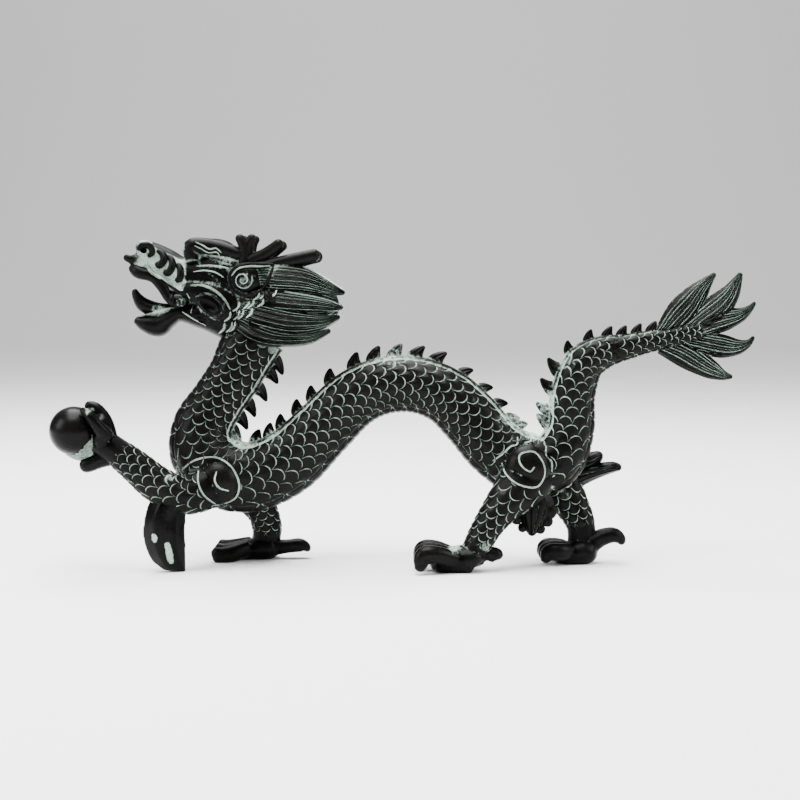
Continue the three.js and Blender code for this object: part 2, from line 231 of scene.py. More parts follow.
def form(name, points, faces, marks=None, group=FORMS):
    """A closed mesh in drawing millimetres, with per-vertex marks for the finish."""
    mesh = bpy.data.meshes.new(name)
    mesh.from_pydata(settle(points).tolist(), [], faces)
    given = {"made": 1.0, **(marks or {})}
    for mark in MARKS:
        write_mark(mesh, mark, np.zeros(len(points)) + given.get(mark, 0.0))
    mesh.update()
    piece = bpy.data.objects.new(name, mesh)
    collection(group).objects.link(piece)
    return piece


def skin_faces(rows, sides):
    """Quads between rings, and a fan over each end round two extra points."""
    grid = np.arange(rows * sides).reshape(rows, sides)
    right = np.roll(grid, -1, axis=1)
    quads = np.stack([grid[:-1], grid[1:], right[1:], right[:-1]], axis=-1).reshape(-1, 4)
    start, end = rows * sides, rows * sides + 1
    faces = quads.tolist()
    faces += [[start, a, b] for a, b in zip(grid[0].tolist(), right[0].tolist())]
    faces += [[end, b, a] for a, b in zip(grid[-1].tolist(), right[-1].tolist())]
    return faces


def skin(name, rings, marks=None, group=FORMS):
    rows, sides = rings.shape[:2]
    points = np.concatenate([rings.reshape(-1, 3), [rings[0].mean(0), rings[-1].mean(0)]])
    spread = {}
    for mark, value in (marks or {}).items():
        value = np.broadcast_to(np.asarray(value, float), (rows, sides))
        ends = [value[0].mean(), value[-1].mean()]
        spread[mark] = np.concatenate([value.ravel(), ends])
    return form(name, points, skin_faces(rows, sides), spread, group)


def limb(name, stations, sides=20, fineness=5, section=oval, round_start=False, marks=None,
         group=FORMS):
    """A tapering form through stations of [x, y, z, half width, half height]."""
    shares, shrink = rounded_shares(stations, fineness, round_start)
    centre, _, side, up, size = rails(stations, shares)
    turn = np.linspace(0, 2 * math.pi, sides, endpoint=False)[None, :]
    share = (shares / (len(stations) - 1))[:, None]
    out, rise = section(turn, share)
    grow = shrink[:, None]
    rings = (
        centre[:, None]
        + side[:, None] * (out * grow * size[:, :1])[..., None]
        + up[:, None] * (rise * grow * size[:, 1:])[..., None]
    )
    return skin(name, rings, marks, group)


GROOVE_LINES = (1.0, 0.8, 0.25, 0.65, 0.2, 0.85, 0.35)    # how full of verdigris each groove is


def lock(name, stations, grooves, relief, groove=0.24, wave=0.0, marks=None, rings=5,
         group=FORMS, edge=0.3):
    """A flat lock of hair or a fin: fine grooves run along both of its broad faces."""
    shares, shrink = rounded_shares(stations, rings)
    centre, _, side, up, size = rails(stations, shares)
    size = size * np.maximum(shrink, 0.15)[:, None]
    gap = 1.84 / (grooves + 1)
    places = np.linspace(0.92, -0.92, grooves + 2)[1:-1]
    half = np.minimum(groove / size[:, 1], 0.32 * gap)[:, None]
    drift = wave * np.sin(3.1 * shares)[:, None]
    levels, lifts, lines = [], [], []
    for number, place in enumerate(places):
        here = place + drift * (1 - place**2)
        levels += [here + half, here, here - half]
        lifts += [0.25, -1.0, 0.25]
        lines += [0.0, GROOVE_LINES[number % len(GROOVE_LINES)], 0.0]
        if number < grooves - 1:
            levels.append(here - gap / 2 * np.ones_like(half))
            lifts.append(0.7)
            lines.append(0.0)
    level = np.concatenate([np.broadcast_to(part, half.shape) for part in levels], axis=1)
    level = np.clip(level, -0.985, 0.985)
    strength = relief * np.clip(size[:, :1] / 1.2, 0, 1)
    ends = np.ones_like(half)
    out = np.sqrt(1 - level**2) * size[:, :1] + strength * np.array(lifts)
    across_size = np.concatenate([0 * ends, out, 0 * ends, -out[:, ::-1]], axis=1)
    height = np.concatenate([ends, level, -ends, level[:, ::-1]], axis=1) * size[:, 1:]
    lines = np.array([edge, *lines, edge / 2, *lines[::-1]])
    rings = (
        centre[:, None] + side[:, None] * across_size[..., None] + up[:, None] * height[..., None]
    )
    spread = {"line": lines[None] * np.ones((len(shares), 1)), **(marks or {})}
    return skin(name, rings, spread, group)


def polygon(name, outline, half, plane, marks=None):
    """A thin plate with a crowned face: an outline in the plane of the spine, at Y = plane."""
    outline = np.asarray(outline, float)
    middle = outline.mean(0)
    rings = []
    for share, depth in ((0.3, -1.0), (0.8, -0.85), (1.0, 0.0), (0.8, 0.85), (0.3, 1.0)):
        ring = middle + (outline - middle) * share
        level = np.full(len(ring), plane + depth * half)
        rings.append(np.stack([ring[:, 0], level, ring[:, 1]], -1))
    return skin(name, np.array(rings), marks)


def ball(name, centre, radii, rings=24, marks=None, group=FORMS, tilt=0.0):
    """An ellipsoid, turned by tilt degrees in the plane of the spine."""
    across_turn = np.linspace(0, math.pi, rings + 1)[1:-1, None]
    turn = np.linspace(0, 2 * math.pi, rings * 2, endpoint=False)[None, :]
    points = np.stack([
        np.sin(across_turn) * np.cos(turn),
        np.sin(across_turn) * np.sin(turn),
        np.cos(across_turn) + 0 * turn,
    ], axis=-1) * np.asarray(radii, float)
    spin = math.radians(tilt)
    x, z = points[..., 0].copy(), points[..., 2].copy()
    points[..., 0] = x * math.cos(spin) - z * math.sin(spin)
    points[..., 2] = x * math.sin(spin) + z * math.cos(spin)
    return skin(name, points + np.asarray(centre, float), marks, group)


def mirror(stations):
    return [(x, -y, *rest) for x, y, *rest in stations]


def both_sides(name, stations, **facts):
    limb(name + "_near", stations, **facts)
    limb(name + "_far", mirror(stations), **facts)


# ---- Scaled skin -----------------------------------------------------------


def scale_rows(start, stop, girth_at, lanes):
    """Distances along the limb at which the rows of scales begin."""
    rows = [start]
    while rows[-1] < stop:
        rows.append(rows[-1] + SCALE_PITCH * girth_at(rows[-1]) / lanes)
    return np.array(rows)


CREST_SHARES = (0.86, 0.6, 0.3)
CREST_HEIGHTS = (0.34, 0.38, 0.16)
CREST_MIDDLE = 0.1
UNDER_STEPS = (4, 8, 12, 18, 25, 31)
SCALE_PITCH = 0.62       # from row to row, in widths of a scale
SCALE_STEPS = 8          # grid steps across a scale, an even number
SCALE_ARCH = 0.96        # how far a scale's edge bows, in rows
GROOVE_FOOT = 0.32       # width of the groove under an edge, in millimetres
LIP_BACK = 0.2           # width of the raised edge
ROW_LINES = (1.0, 0.0, 0.0, 0.1)
RIB_LIFTS = (-0.28, 0.05, 0.14, 0.05)


def mirrored_turns(turns):
    return (2 * math.pi - np.asarray(turns))[::-1]


def scaled_skin(name, stations, start, stop, lanes, depth, ridge=0.0, belly=180.0, roundness=1.0,
                fade=None, taper=None, dim=0.5):
    """A limb covered in overlapping scales, each with a raised free edge over a fine groove.

    `lanes` is the number of scales from the ridge to the belly on each side. The grid's rows
    follow the scales' edges, so that every edge is crisp. With a ridge and a belly, in degrees
    from the top, a smooth beaded strip runs along the back and a ribbed one below. The last
    argument is painted shade that darkens the pale lines towards the underside. The patches in
    BARE stay smooth.
    """
    last = len(stations) - 1
    fine = np.linspace(0, last, last * 60 + 1)
    run = distances(stations, fine)
    table = [np.asarray(part).reshape(len(fine), -1) for part in rails(stations, fine)]
    ridge_turn, belly_turn = math.radians(ridge), math.radians(belly)
    span = belly_turn - ridge_turn

    def girth_at(distance):
        half = np.interp(distance, run, table[4][:, 1])
        return half * (1 + roundness) / 2 * span

    rows = scale_rows(start, stop, girth_at, lanes)
    count = len(rows) - 1
    lane = np.linspace(0, lanes, lanes * SCALE_STEPS + 1)
    if ridge:
        crest = ridge_turn * np.array([*CREST_SHARES, 0])
        crest = np.concatenate([-crest, crest[:-1][::-1]])
        under = belly_turn + np.radians(UNDER_STEPS)
        under = np.concatenate([under, [math.pi], mirrored_turns(under)])
    else:
        lane = lane[:-1]
        crest = under = np.array([])
    flank = ridge_turn + span * lane / lanes
    turn = np.concatenate([flank, under, mirrored_turns(flank), crest])
    kind = np.repeat([0, 1, 0, 2], [len(flank), len(under), len(flank), len(crest)])
    place = np.concatenate([lane, under * 0, lane[::-1], crest * 0])

    def off_centre(parity):
        off = (place - 0.5 * (1 - parity)) % 1.0
        return np.where(kind == 0, np.minimum(off, 1 - off) * 2, 1.0)

    def scallop(parity):
        rise = SCALE_ARCH * np.sqrt(np.maximum(1 - (0.99 * off_centre(parity)) ** 2, 0.0))
        if not ridge:
            return rise
        edge = rise[len(flank) - 1]
        ease = np.abs(np.linspace(-1, 1, len(under) + 2)[1:-1]) ** 3
        rise[kind == 1] = 0.4 + (edge - 0.4) * ease
        rise[kind == 2] = rise[0]
        return rise

    border = np.zeros(len(turn))
    groove = np.zeros(len(turn))
    crest_lift = np.zeros(len(turn))
    strip = np.zeros(len(turn))
    if ridge:
        first, last_one = len(flank), len(flank) + len(under)
        border[[0, first - 1, last_one, last_one + len(flank) - 1]] = 1.0
        groove[[first + 1, last_one - 2]] = 1.0
        strip[[first, last_one - 1]] = 1.0
        crest_lift[kind == 2] = [*CREST_HEIGHTS, CREST_MIDDLE, *CREST_HEIGHTS[::-1]]
    ribs = (kind == 1) & (border + groove + strip < 0.5)
    # Painted shade: the pale lines are darkened where the skin turns down towards the belly.
    fall = np.clip((np.abs(np.cos(turn)) * np.sign(-np.cos(turn)) - 0.1) / 0.7, 0, 1)
    line_shade = 1 - dim * fall
    grid, heights, lines = [], [], []
    for row in range(count):
        here = row + scallop(row % 2)
        there = row + 1 + scallop((row + 1) % 2)
        gap_mm = (there - here) * (rows[row + 1] - rows[row])
        steps = (0 * gap_mm, np.minimum(0.3, GROOVE_FOOT / gap_mm), 0.56 + 0 * gap_mm,
                 1 - np.minimum(0.25, LIP_BACK / gap_mm))
        crown = 1 - off_centre((row + 1) % 2) ** 2
        lifts = (-0.3, -0.02, 0.08 + 0.1 * crown, 0.2 + 0.06 * crown)
        for step, lift, mark, rib in zip(steps, lifts, ROW_LINES, RIB_LIFTS):
            lift = np.where(kind == 2, crest_lift, lift + 0 * turn)
            lift = np.where(ribs, rib, lift)
            lift = np.where(strip > 0, 0.12, lift)
            lift = np.where(border + groove > 0, -0.24, lift)
            mark = np.where(kind == 2, 0.0, mark + 0 * turn)
            mark = np.where(ribs, mark * 0.55, mark)
            mark = np.maximum(mark, border * 0.7 + groove * 0.25) * line_shade
            grid.append(here + (there - here) * step)
            heights.append(lift)
            lines.append(mark)
    grid = np.array(grid)
    distance = np.interp(grid, np.arange(len(rows)), rows)
    over = np.maximum(grid - (len(rows) - 1), 0) * (rows[-1] - rows[-2])
    distance = np.minimum(distance + over, run[-1])
    height = np.array(heights) * depth
    line = np.array(lines)
    if fade:
        keep = fade(distance)
        height, line = height * keep, line * keep
    centre, _, side, up, size = (
        np.stack([np.interp(distance, run, column) for column in part.T], axis=-1) for part in table
    )
    half = size[..., 1]
    if taper:
        half = half * taper(distance)
    width = size[..., 0] * (half / size[..., 1]) if roundness == 1.0 else half
    flat = centre + up * (np.cos(turn) * half)[..., None]
    for x, z, radius in BARE:
        keep = np.clip((np.hypot(flat[..., 0] - x, flat[..., 2] - z) - radius) / 0.8, 0, 1)
        keep = np.where(kind == 0, keep, 1.0)
        height, line = height * keep, line * keep
    grow = 1 + height / half
    rings = (
        centre
        + side * (np.sin(turn) * roundness * grow * width)[..., None]
        + up * (np.cos(turn) * grow * half)[..., None]
    )
    # The strip along the ridge is painted paler.
    crest_pale = np.where(kind == 2, 0.24, 0.0) + 0 * distance
    return skin(name, rings, {"line": line, "bloom_and_highlight": crest_pale})


def spine_stations():
    return [(x, 0.0, z, half, half) for x, z, half in SPINE]


def spine_at(distance):
    """Centre, along, back and half height of the spine at a distance from the nape."""
    stations = spine_stations()
    last = len(stations) - 1
    fine = np.linspace(0, last, last * 60 + 1)
    share = np.interp([distance], distances(stations, fine), fine)
    centre, along, _, up, size = rails(stations, share)
    return centre[0], along[0], up[0], size[0][1]


# ---- The body, its spikes and the tail -------------------------------------


def lay_body(sizes):
    spine = spine_stations()
    flank = dict(ridge=28, belly=142, roundness=BODY_ROUNDNESS)
    scaled_skin(
        "body", spine, 0.0, BODY_END, sizes.scale_lanes, sizes.scale_depth,
        taper=lambda run: 1 - 0.12 * np.clip((run - BODY_END + 9) / 9, 0, 1), **flank,
    )
    # The tail's skin takes over in two lengths with fewer lanes, each from under the one before.
    for name, start, stop, fewer in TAIL_SKINS:
        scaled_skin(
            name, spine, start, stop, sizes.scale_lanes - fewer, sizes.scale_depth * 0.9,
            taper=lambda run: 0.93 + 0.07 * np.clip((run - start - 4) / 4, 0, 1), **flank,
        )


TAIL_SKINS = (
    ("tail_root", TAIL_START, 219.0, 1),
    ("tail_tip", 214.5, 252.0, 2),
)


def lay_spikes():
    number = 0
    for start, stop, count, height, length in SPIKE_ROWS:
        for place in range(count):
            centre, along, back, half = spine_at(start + (stop - start) * place / (count - 1))

            def at(forward, up):
                return tuple(centre + along * forward * length + back * (half + up * height))

            limb(f"spike_{number}", [
                (*at(-0.06, -0.5), 1.5, length * 0.56), (*at(-0.02, 0.06), 1.25, length * 0.47),
                (*at(0.08, 0.4), 1.0, length * 0.34), (*at(0.24, 0.72), 0.75, length * 0.22),
                (*at(0.42, 1.0), 0.4, length * 0.08),
            ], fineness=2, section=grooved(3, 0.26), marks={"bloom_and_highlight": 0.12})
            number += 1


def lay_bosses():
    for side, sign in SIDES:
        for name, (x, z), radius in (
            ("shoulder", SHOULDER, SHOULDER_RADIUS), ("hip", HIP, HIP_RADIUS),
        ):
            ball(f"{name}_boss_{side}", (x, sign * (BOSS_FACE - BOSS_DEEP), z),
                 (radius, BOSS_DEEP, radius), marks={"gloss": 0.3, "bloom_and_highlight": -0.3})


# Lines cut round the joints, drawn in X and Z, with their half widths.
JOINT_LINES = [
    (0.32, [(-72.6, 29), (-69.6, 32), (-66.2, 34.4), (-60.4, 35.4), (-56, 33.4), (-53.2, 29.6),
           (-52.4, 26), (-53.6, 22.6), (-57, 20.6), (-60.5, 20.4)]),
    (0.3, [(-65.1, 32.6), (-64.7, 28), (-62.7, 23.8), (-59.8, 20.9)]),
    (0.3, [(-59.2, 31.2), (-59.7, 28.5), (-58.3, 26.1), (-55.4, 25)]),
    (0.32, [(39.1, 32.6), (37.8, 31.2), (36, 32), (34.5, 34), (34.5, 36.1), (36.5, 37.2),
        (39.1, 37.1),
            (41.1, 35.1), (42.4, 32), (42.1, 28.9), (40.1, 26.4), (37, 26.4), (33, 27.9),
            (30.2, 30.5),
            (29.2, 33.5)]),
    (0.3, [(26.4, 34), (29.9, 36.6), (32, 38.6), (34, 39.2), (34.3, 41.4)]),
    (0.3, [(36.5, 39.6), (38.6, 40.2), (38.3, 41.4), (37, 41.8)]),
    (0.3, [(41.1, 40.4), (43.1, 38.6), (42.9, 35.8), (44.7, 34), (44.9, 30.5)]),
]


def cut_joint_lines(piece):
    surface = surface_of(piece)
    for side, sign in SIDES:
        for place, (radius, points) in enumerate(JOINT_LINES):
            bead(f"joint_line_{place}_{side}", drape(surface, points, sign), radius,
                 {"line": 0.9}, group=CUTS, blunt=0.7)
    apply_boolean(piece, "DIFFERENCE", group=CUTS)
    clear(CUTS)


def lay_tail_fins():
    for place, stations in enumerate([
        [(79, 0, 71.5, 1.8, 2.6), (86, 0, 79.6, 1.6, 4.9), (91, 0, 86, 1.3, 3.6),
         (94.8, 0, 90.4, 0.8, 1.6), (96.8, 0, 92.4, 0.5, 0.6)],
        [(86, 0, 73, 1.8, 3), (96.4, 0, 80.6, 1.6, 4.6), (101.4, 0, 86, 1.2, 3.2),
         (103.6, 0, 90, 0.9, 1.7), (104.8, 0, 92.6, 0.5, 0.7)],
        [(90, 0, 74.2, 1.8, 3), (99.6, 0, 77.8, 1.5, 3.6), (105.2, 0, 79.6, 1.1, 2.2),
         (108, 0, 81.6, 0.8, 1.1), (109.4, 0, 83.4, 0.5, 0.5)],
        [(88, 0, 71.6, 1.8, 3), (98.6, 0, 69.6, 1.5, 3.8), (104.6, 0, 69.4, 1.1, 2.4),
         (107.6, 0, 70.6, 0.8, 1.2), (109.2, 0, 72.6, 0.5, 0.5)],
        [(80, 0, 70, 1.8, 3), (88.4, 0, 66.4, 1.5, 4.2), (96, 0, 62, 1.1, 3),
         (100, 0, 60.2, 0.8, 1.5), (102.6, 0, 59.8, 0.5, 0.6)],
    ]):
        lock(f"fin_{place}", stations, 7, relief=0.34, groove=0.22, wave=0.05, rings=7,
             marks={"bloom_and_highlight": 0.06})


# ---- Legs, feet and the raised arm -----------------------------------------


def lay_foot(name, ankle, reach, knuckle, sole, splay, rear, group):
    """A foot flat on the ground: three curled toes with claws ahead of the ankle, one behind."""
    x, y = ankle
    tip = x - reach
    limb(f"{name}_pad", [
        (x + sole, y, 2.2, 4.4, 2.8), (x, y, 3.6, 5.4, 4.6),
        (x - reach * 0.45, y, knuckle * 0.36, 5.2, knuckle * 0.46), (tip + 5, y, 2.8, 4.6, 3.6),
    ], sides=28, round_start=True, group=group)
    for spread in (-1, 0, 1):
        limb(f"{name}_toe_{spread + 1}", [
            (x - reach * 0.3, y + spread * splay * 0.5, 4, 2.2, 2.6),
            (tip + 6.6, y + spread * splay * 0.86, knuckle - 3.1, 2.6, 2.8),
            (tip + 3.2, y + spread * splay * 0.95, knuckle - 3.5, 2.4, 2.9),
            (tip + 2.2, y + spread * splay, 3.0, 1.8, 2.2),
            (tip + 1.9, y + spread * splay, 0.9, 0.9, 1.2),
        ], group=group)
    limb(f"{name}_heel", [(x + dx, y, z, size, size) for dx, z, size in rear], group=group)


LEG_LANES = 4


def lay_leg(name, stations, length, smooth_from, sizes):
    scaled_skin(name, stations, 0, length, LEG_LANES, sizes.scale_depth, dim=0.2,
                fade=lambda run: np.clip((smooth_from - run) / 2, 0, 1))


def lay_hind_legs(sizes):
    lay_leg("near_thigh", [
        (41, -5.4, 33, 5, 8.6), (36, -7.6, 27, 5.6, 8.2), (29.8, -10.4, 20.6, 5, 5.9),
        (25.2, -12, 14.8, 4.4, 4.7), (22, -12.4, 9.2, 4.2, 4.3), (19.6, -12.4, 4, 4.2, 4.2),
    ], 36, 33, sizes)
    lock("near_thigh_leaf", [
        (38.4, -7.4, 25, 1.6, 3), (39.4, -8, 20.6, 2.2, 6.2), (39.2, -8.4, 17, 2, 5.2),
        (38.9, -8.6, 13.6, 1.4, 3.2), (38.6, -8.6, 10.4, 0.5, 0.7),
    ], 4, relief=0.25, marks={"bloom_and_highlight": DARK})
    for place, (x, z, size) in enumerate([
        (44.2, 18, 2.4), (43.6, 15, 1.8), (41.4, 12.6, 1.6), (34, 15.8, 1.9), (35.8, 13, 1.5),
    ]):
        ball(f"leaf_lobe_{place}", (x, -8.2, z), (size, 1.4, size), rings=10, marks={"bloom_and_highlight": DARK})
    foot = "near hind foot"
    lay_foot("near_hind", (21, -12.4), 19.4, 9.3, 1.6, 6.6,
             [(0, 4.4, 3.2), (3, 5.8, 2.3), (5.4, 5.3, 2.5), (6.9, 4.5, 2.5),
              (7.4, 3.6, 1.7)], foot)
    knead(foot, "near_hind_foot", {"bloom_and_highlight": -0.25, "gloss": 0.6})
    lay_leg("far_thigh", [
        (42, 4, 32, 5, 8), (47.6, 5, 26, 5.2, 7.4), (52.2, 5, 19, 4.4, 5.6),
        (55.4, 4.6, 12.4, 4, 4.6), (56, 4, 5, 4, 4.6),
    ], 31, 25, sizes)
    for place, stations in enumerate([
        [(52, 4.6, 31, 2.4, 4.4), (58.6, 5, 32.8, 2, 3.0), (62.4, 5, 35, 1.1, 1.3)],
        [(52, 4.6, 27.4, 2.4, 4.6), (60, 5, 29.4, 2, 2.7), (66, 5.2, 30.6, 1.7, 1.8),
         (68.6, 5.4, 30.4, 0.9, 1)],
    ]):
        lock(f"far_thigh_tuft_{place}", stations, 3, relief=0.3, marks={"bloom_and_highlight": DARK})
    foot = "far hind foot"
    lay_foot("far_hind", (56, 3), 14.4, 7.6, 4.6, 6.2,
             [(1, 5, 3.4), (6, 8.2, 2.9), (10.2, 8.9, 2.5), (12.2, 7.4, 1.8),
              (12.5, 5.6, 0.8)], foot)
    knead(foot, "far_hind_foot", {"bloom_and_highlight": DARK})


def lay_front_leg(sizes):
    lay_leg("far_shin", [
        (-56, 5.4, 30, 5, 8), (-51.6, 8, 22.6, 4.8, 6.8), (-47.4, 10.6, 16, 4.3, 5),
        (-45.8, 12, 10, 4.2, 4.7), (-46.4, 12.4, 4, 4.4, 4.6),
    ], 29, 26, sizes)
    foot = "far front foot"
    lay_foot("far_front", (-46.4, 12.4), 17, 5.6, 4.8, 8.4,
             [(2, 3.4, 2.8), (7.4, 3.9, 2.3), (11.4, 4.2, 2.3), (13.4, 3.2, 1.7),
              (13.4, 1.9, 0.9)], foot)
    knead(foot, "far_front_foot", {"bloom_and_highlight": DARK})


def lay_pearl_arm(sizes):
    lay_leg("pearl_arm", [
        (-56, -5.4, 30, 5, 7), (-62.6, -8.4, 25.6, 5.2, 6.6), (-70.4, -11.6, 23.8, 5, 6),
        (-77.4, -13.6, 27.4, 4.7, 5.6), (-83.6, -14.6, 32.8, 4.3, 5), (-89.6, -15, 37.6, 4.3, 4.4),
        (-94.6, -15, 41, 4.6, 4.4),
    ], 46, 41, sizes)
    paw = "paw"
    ball("palm", (-93.6, -15, 43), (3.6, 5.6, 6.6), rings=14, group=paw)
    for place, stations in enumerate([
        [(-91.4, -15, 41, 2.4, 2.6), (-92.8, -15, 47, 2.1, 2.2), (-95.8, -15, 51, 1.8, 1.9),
         (-99.2, -15, 52, 1.2, 1.3)],
        [(-91.6, -12, 41, 2.2, 2.4), (-96, -8.8, 45.4, 1.6, 1.8), (-101, -8.2, 48, 0.9, 1)],
        [(-91.4, -18.2, 42, 2.2, 2.4), (-94, -20.4, 45.6, 1.8, 2), (-96.6, -20.8, 49.2, 1.4, 1.6),
         (-99.4, -19.6, 51.2, 0.8, 0.9)],
        [(-89.6, -15, 37, 3, 3.8), (-94, -15, 35.4, 2.7, 2.8), (-98.2, -15, 33.6, 2.4, 2.5),
         (-101, -15, 32.8, 2, 2.1)],
    ]):
        limb(f"pearl_claw_{place}", stations, sides=18, group=paw)
    knead(paw, "pearl_paw", {"bloom_and_highlight": -0.2, "gloss": 0.4})
    cup = (PEARL[0] + 2.3, PEARL[1] + 2.4, PEARL[2] - 1.9)
    ball("pearl_cup", cup, (PEARL_RADIUS * 1.02,) * 3, rings=28, marks={"line": 0.46})
    ball("pearl", PEARL, (PEARL_RADIUS,) * 3, rings=40, marks={"gloss": 1.0, "bloom_and_highlight": -0.25})
    tuft = "elbow tuft"
    for place, stations in enumerate([
        [(-73.4, -13, 23, 3.4, 5.6), (-75.6, -13.4, 17.4, 3.6, 5.8), (-75.6, -13.4, 12, 3.8, 6.6),
         (-75, -13.2, 7.4, 3.6, 6), (-73.4, -12.8, 3.8, 3, 4.6), (-70.9, -12, 1, 2, 2),
         (-69.6, -11.8, -1, 1, 0.9)],
        [(-72, -12, 23, 3, 4), (-72.4, -12.6, 14, 3.2, 3.5), (-71.6, -12.6, 8, 3, 2.8),
         (-70.6, -12.2, 3, 2.2, 1.7), (-69.9, -11.8, -1, 1.2, 1)],
    ]):
        lock(f"elbow_tuft_{place}", stations, 2, relief=0.1, rings=8, group=tuft)
    knead(tuft, "elbow_tuft", {"bloom_and_highlight": DARK, "gloss": 1.3})


# ---- Head, antlers and mane ------------------------------------------------


def lay_head():
    bare = "bare head"
    limb("skull", [
        (-86, 0, 97.3, 3.4, 3.6), (-82.5, 0, 96.6, 4.7, 6), (-77, 0, 94.6, 5, 6),
        (-71.5, 0, 92, 5.8, 5.8), (-65, 0, 90.5, 7.2, 8.5), (-58, 0, 90, HEAD_HALF, 11.5),
        (-50, 0, 86.5, HEAD_HALF, 12.6), (-43, 0, 83, 7.4, 11.5), (-38, 0, 82, 5.5, 9),
    ], sides=40, round_start=True, group=bare)
    ball("nape", (-48, 0, 77.5), (8, 7.4, 7), group=bare)
    limb("lower_jaw", [
        (-85.8, 0, 77.8, 2.8, 1.2), (-82.6, 0, 76.6, 3.8, 2.8), (-78.6, 0, 76.2, 4.4, 3.8),
        (-75.6, 0, 77.8, 4.8, 3), (-72, 0, 79.6, 5, 2.6), (-66, 0, 79.5, 6.2, 4.4),
        (-58, 0, 80, 7.4, 8.5), (-50, 0, 80, 7.4, 9),
    ], sides=32, group=bare)
    limb("tongue", [
        (-74, 0, 81.3, 3, 1.5), (-79, 0, 81.4, 3, 2), (-83, 0, 82.4, 2.9, 2.4),
        (-85.2, 0, 85, 2.4, 1.6), (-86.2, 0, 87.6, 1.4, 0.8),
    ], group=bare)
    both_sides("nostril", [
        (-80, -2.6, 99.6, 2, 2.6), (-82.6, -3.2, 100, 2.4, 2.7), (-84.8, -3, 99.2, 2, 2.3),
    ], group=bare)
    both_sides("upper_lip", [
        (-86.2, -2.6, 94.6, 1.5, 1.6), (-84.2, -4, 92.8, 1.9, 2.1), (-79.6, -4.9, 91.4, 1.6, 1.8),
        (-76.6, -5.2, 88.2, 1.5, 1.7), (-74, -5.4, 84.4, 1.5, 1.7), (-70, -6, 83.2, 1.8, 2.4),
    ], group=bare)
    both_sides("whisker", [
        (-84.5, -3.4, 97, 1.3, 1.6), (-86.8, -4, 96.8, 1.1, 1.3), (-88.6, -4.2, 97.8, 0.9, 1),
    ], group=bare)
    both_sides("brow", [
        (-67.4, -4.2, 96.8, 2.4, 2.2), (-67.6, -4.4, 100.4, 2.6, 2.6),
        (-63.4, -4.6, 100.8, 2.6, 2.6),
        (-57, -5.2, 99.6, 2.4, 2.4), (-51, -6, 97.6, 1.8, 1.8),
    ], group=bare)
    ball("forelock", (-61.4, 0, 99.8), (7.4, 4.6, 3.6), group=bare)
    both_sides("cheek", [
        (-72, -4.4, 87, 2, 2.4), (-66, -6.2, 86.6, 2, 3.4), (-60, -7, 84, 2, 5),
        (-54, -6.8, 80, 2, 4.6),
    ], group=bare)
    for sign in (-1, 1):
        ball(f"eye_{sign}", (-49.6, sign * 7.2, 90.6), (5.8, 2.4, 4.4), rings=16, group=bare)
    knead(bare, "bare_head", {"bloom_and_highlight": 0.14}, voxel=0.36)


def curve_track(points, count):
    place, _ = through(points, np.linspace(0, len(points) - 1, count))
    return place


def drape(surface, points, sign, lift=0.0, step=0.45):
    """Lays a curve, drawn in the plane of the spine, on the surface of one side."""
    rough = curve_track(points, 60)
    length = np.linalg.norm(np.diff(rough, axis=0), axis=1).sum()
    track = curve_track(points, max(4, int(length / step)))
    depth = []
    for x, z in track:
        start = settle((x, sign * 40.0, z))
        place, _, _, _ = surface.ray_cast(start.tolist(), (0, -sign, 0))
        if place is None:
            depth.append(depth[-1] if depth else sign * 4.0)
        else:
            depth.append((place.y - MIDDLE[1]) / MM)
    depth = np.array(depth)
    for _ in range(2):
        depth[1:-1] = (depth[:-2] + 2 * depth[1:-1] + depth[2:]) / 4
    return np.stack([track[:, 0], depth + sign * lift, track[:, 1]], axis=-1)


def bead(name, track, radius, marks, group=FORMS, blunt=0.35, sides=8):
    """A thin cord along a track, thinner towards its ends."""
    share = np.linspace(0, 1, len(track))
    size = radius * (blunt + (1 - blunt) * np.sin(math.pi * share) ** 0.5)
    stations = [(*place, wide, wide) for place, wide in zip(track, size)]
    limb(name, stations, sides=sides, fineness=1, round_start=True, marks=marks, group=group)


def surface_of(piece):
    mesh = piece.data
    mesh.calc_loop_triangles()
    corners = [tuple(face.vertices) for face in mesh.loop_triangles]
    return BVHTree.FromPolygons([vertex.co.copy() for vertex in mesh.vertices], corners)


PALE = {"line": 0.5}
SOFT = {"line": 0.3}
SHADE = {"bloom_and_highlight": DARK}
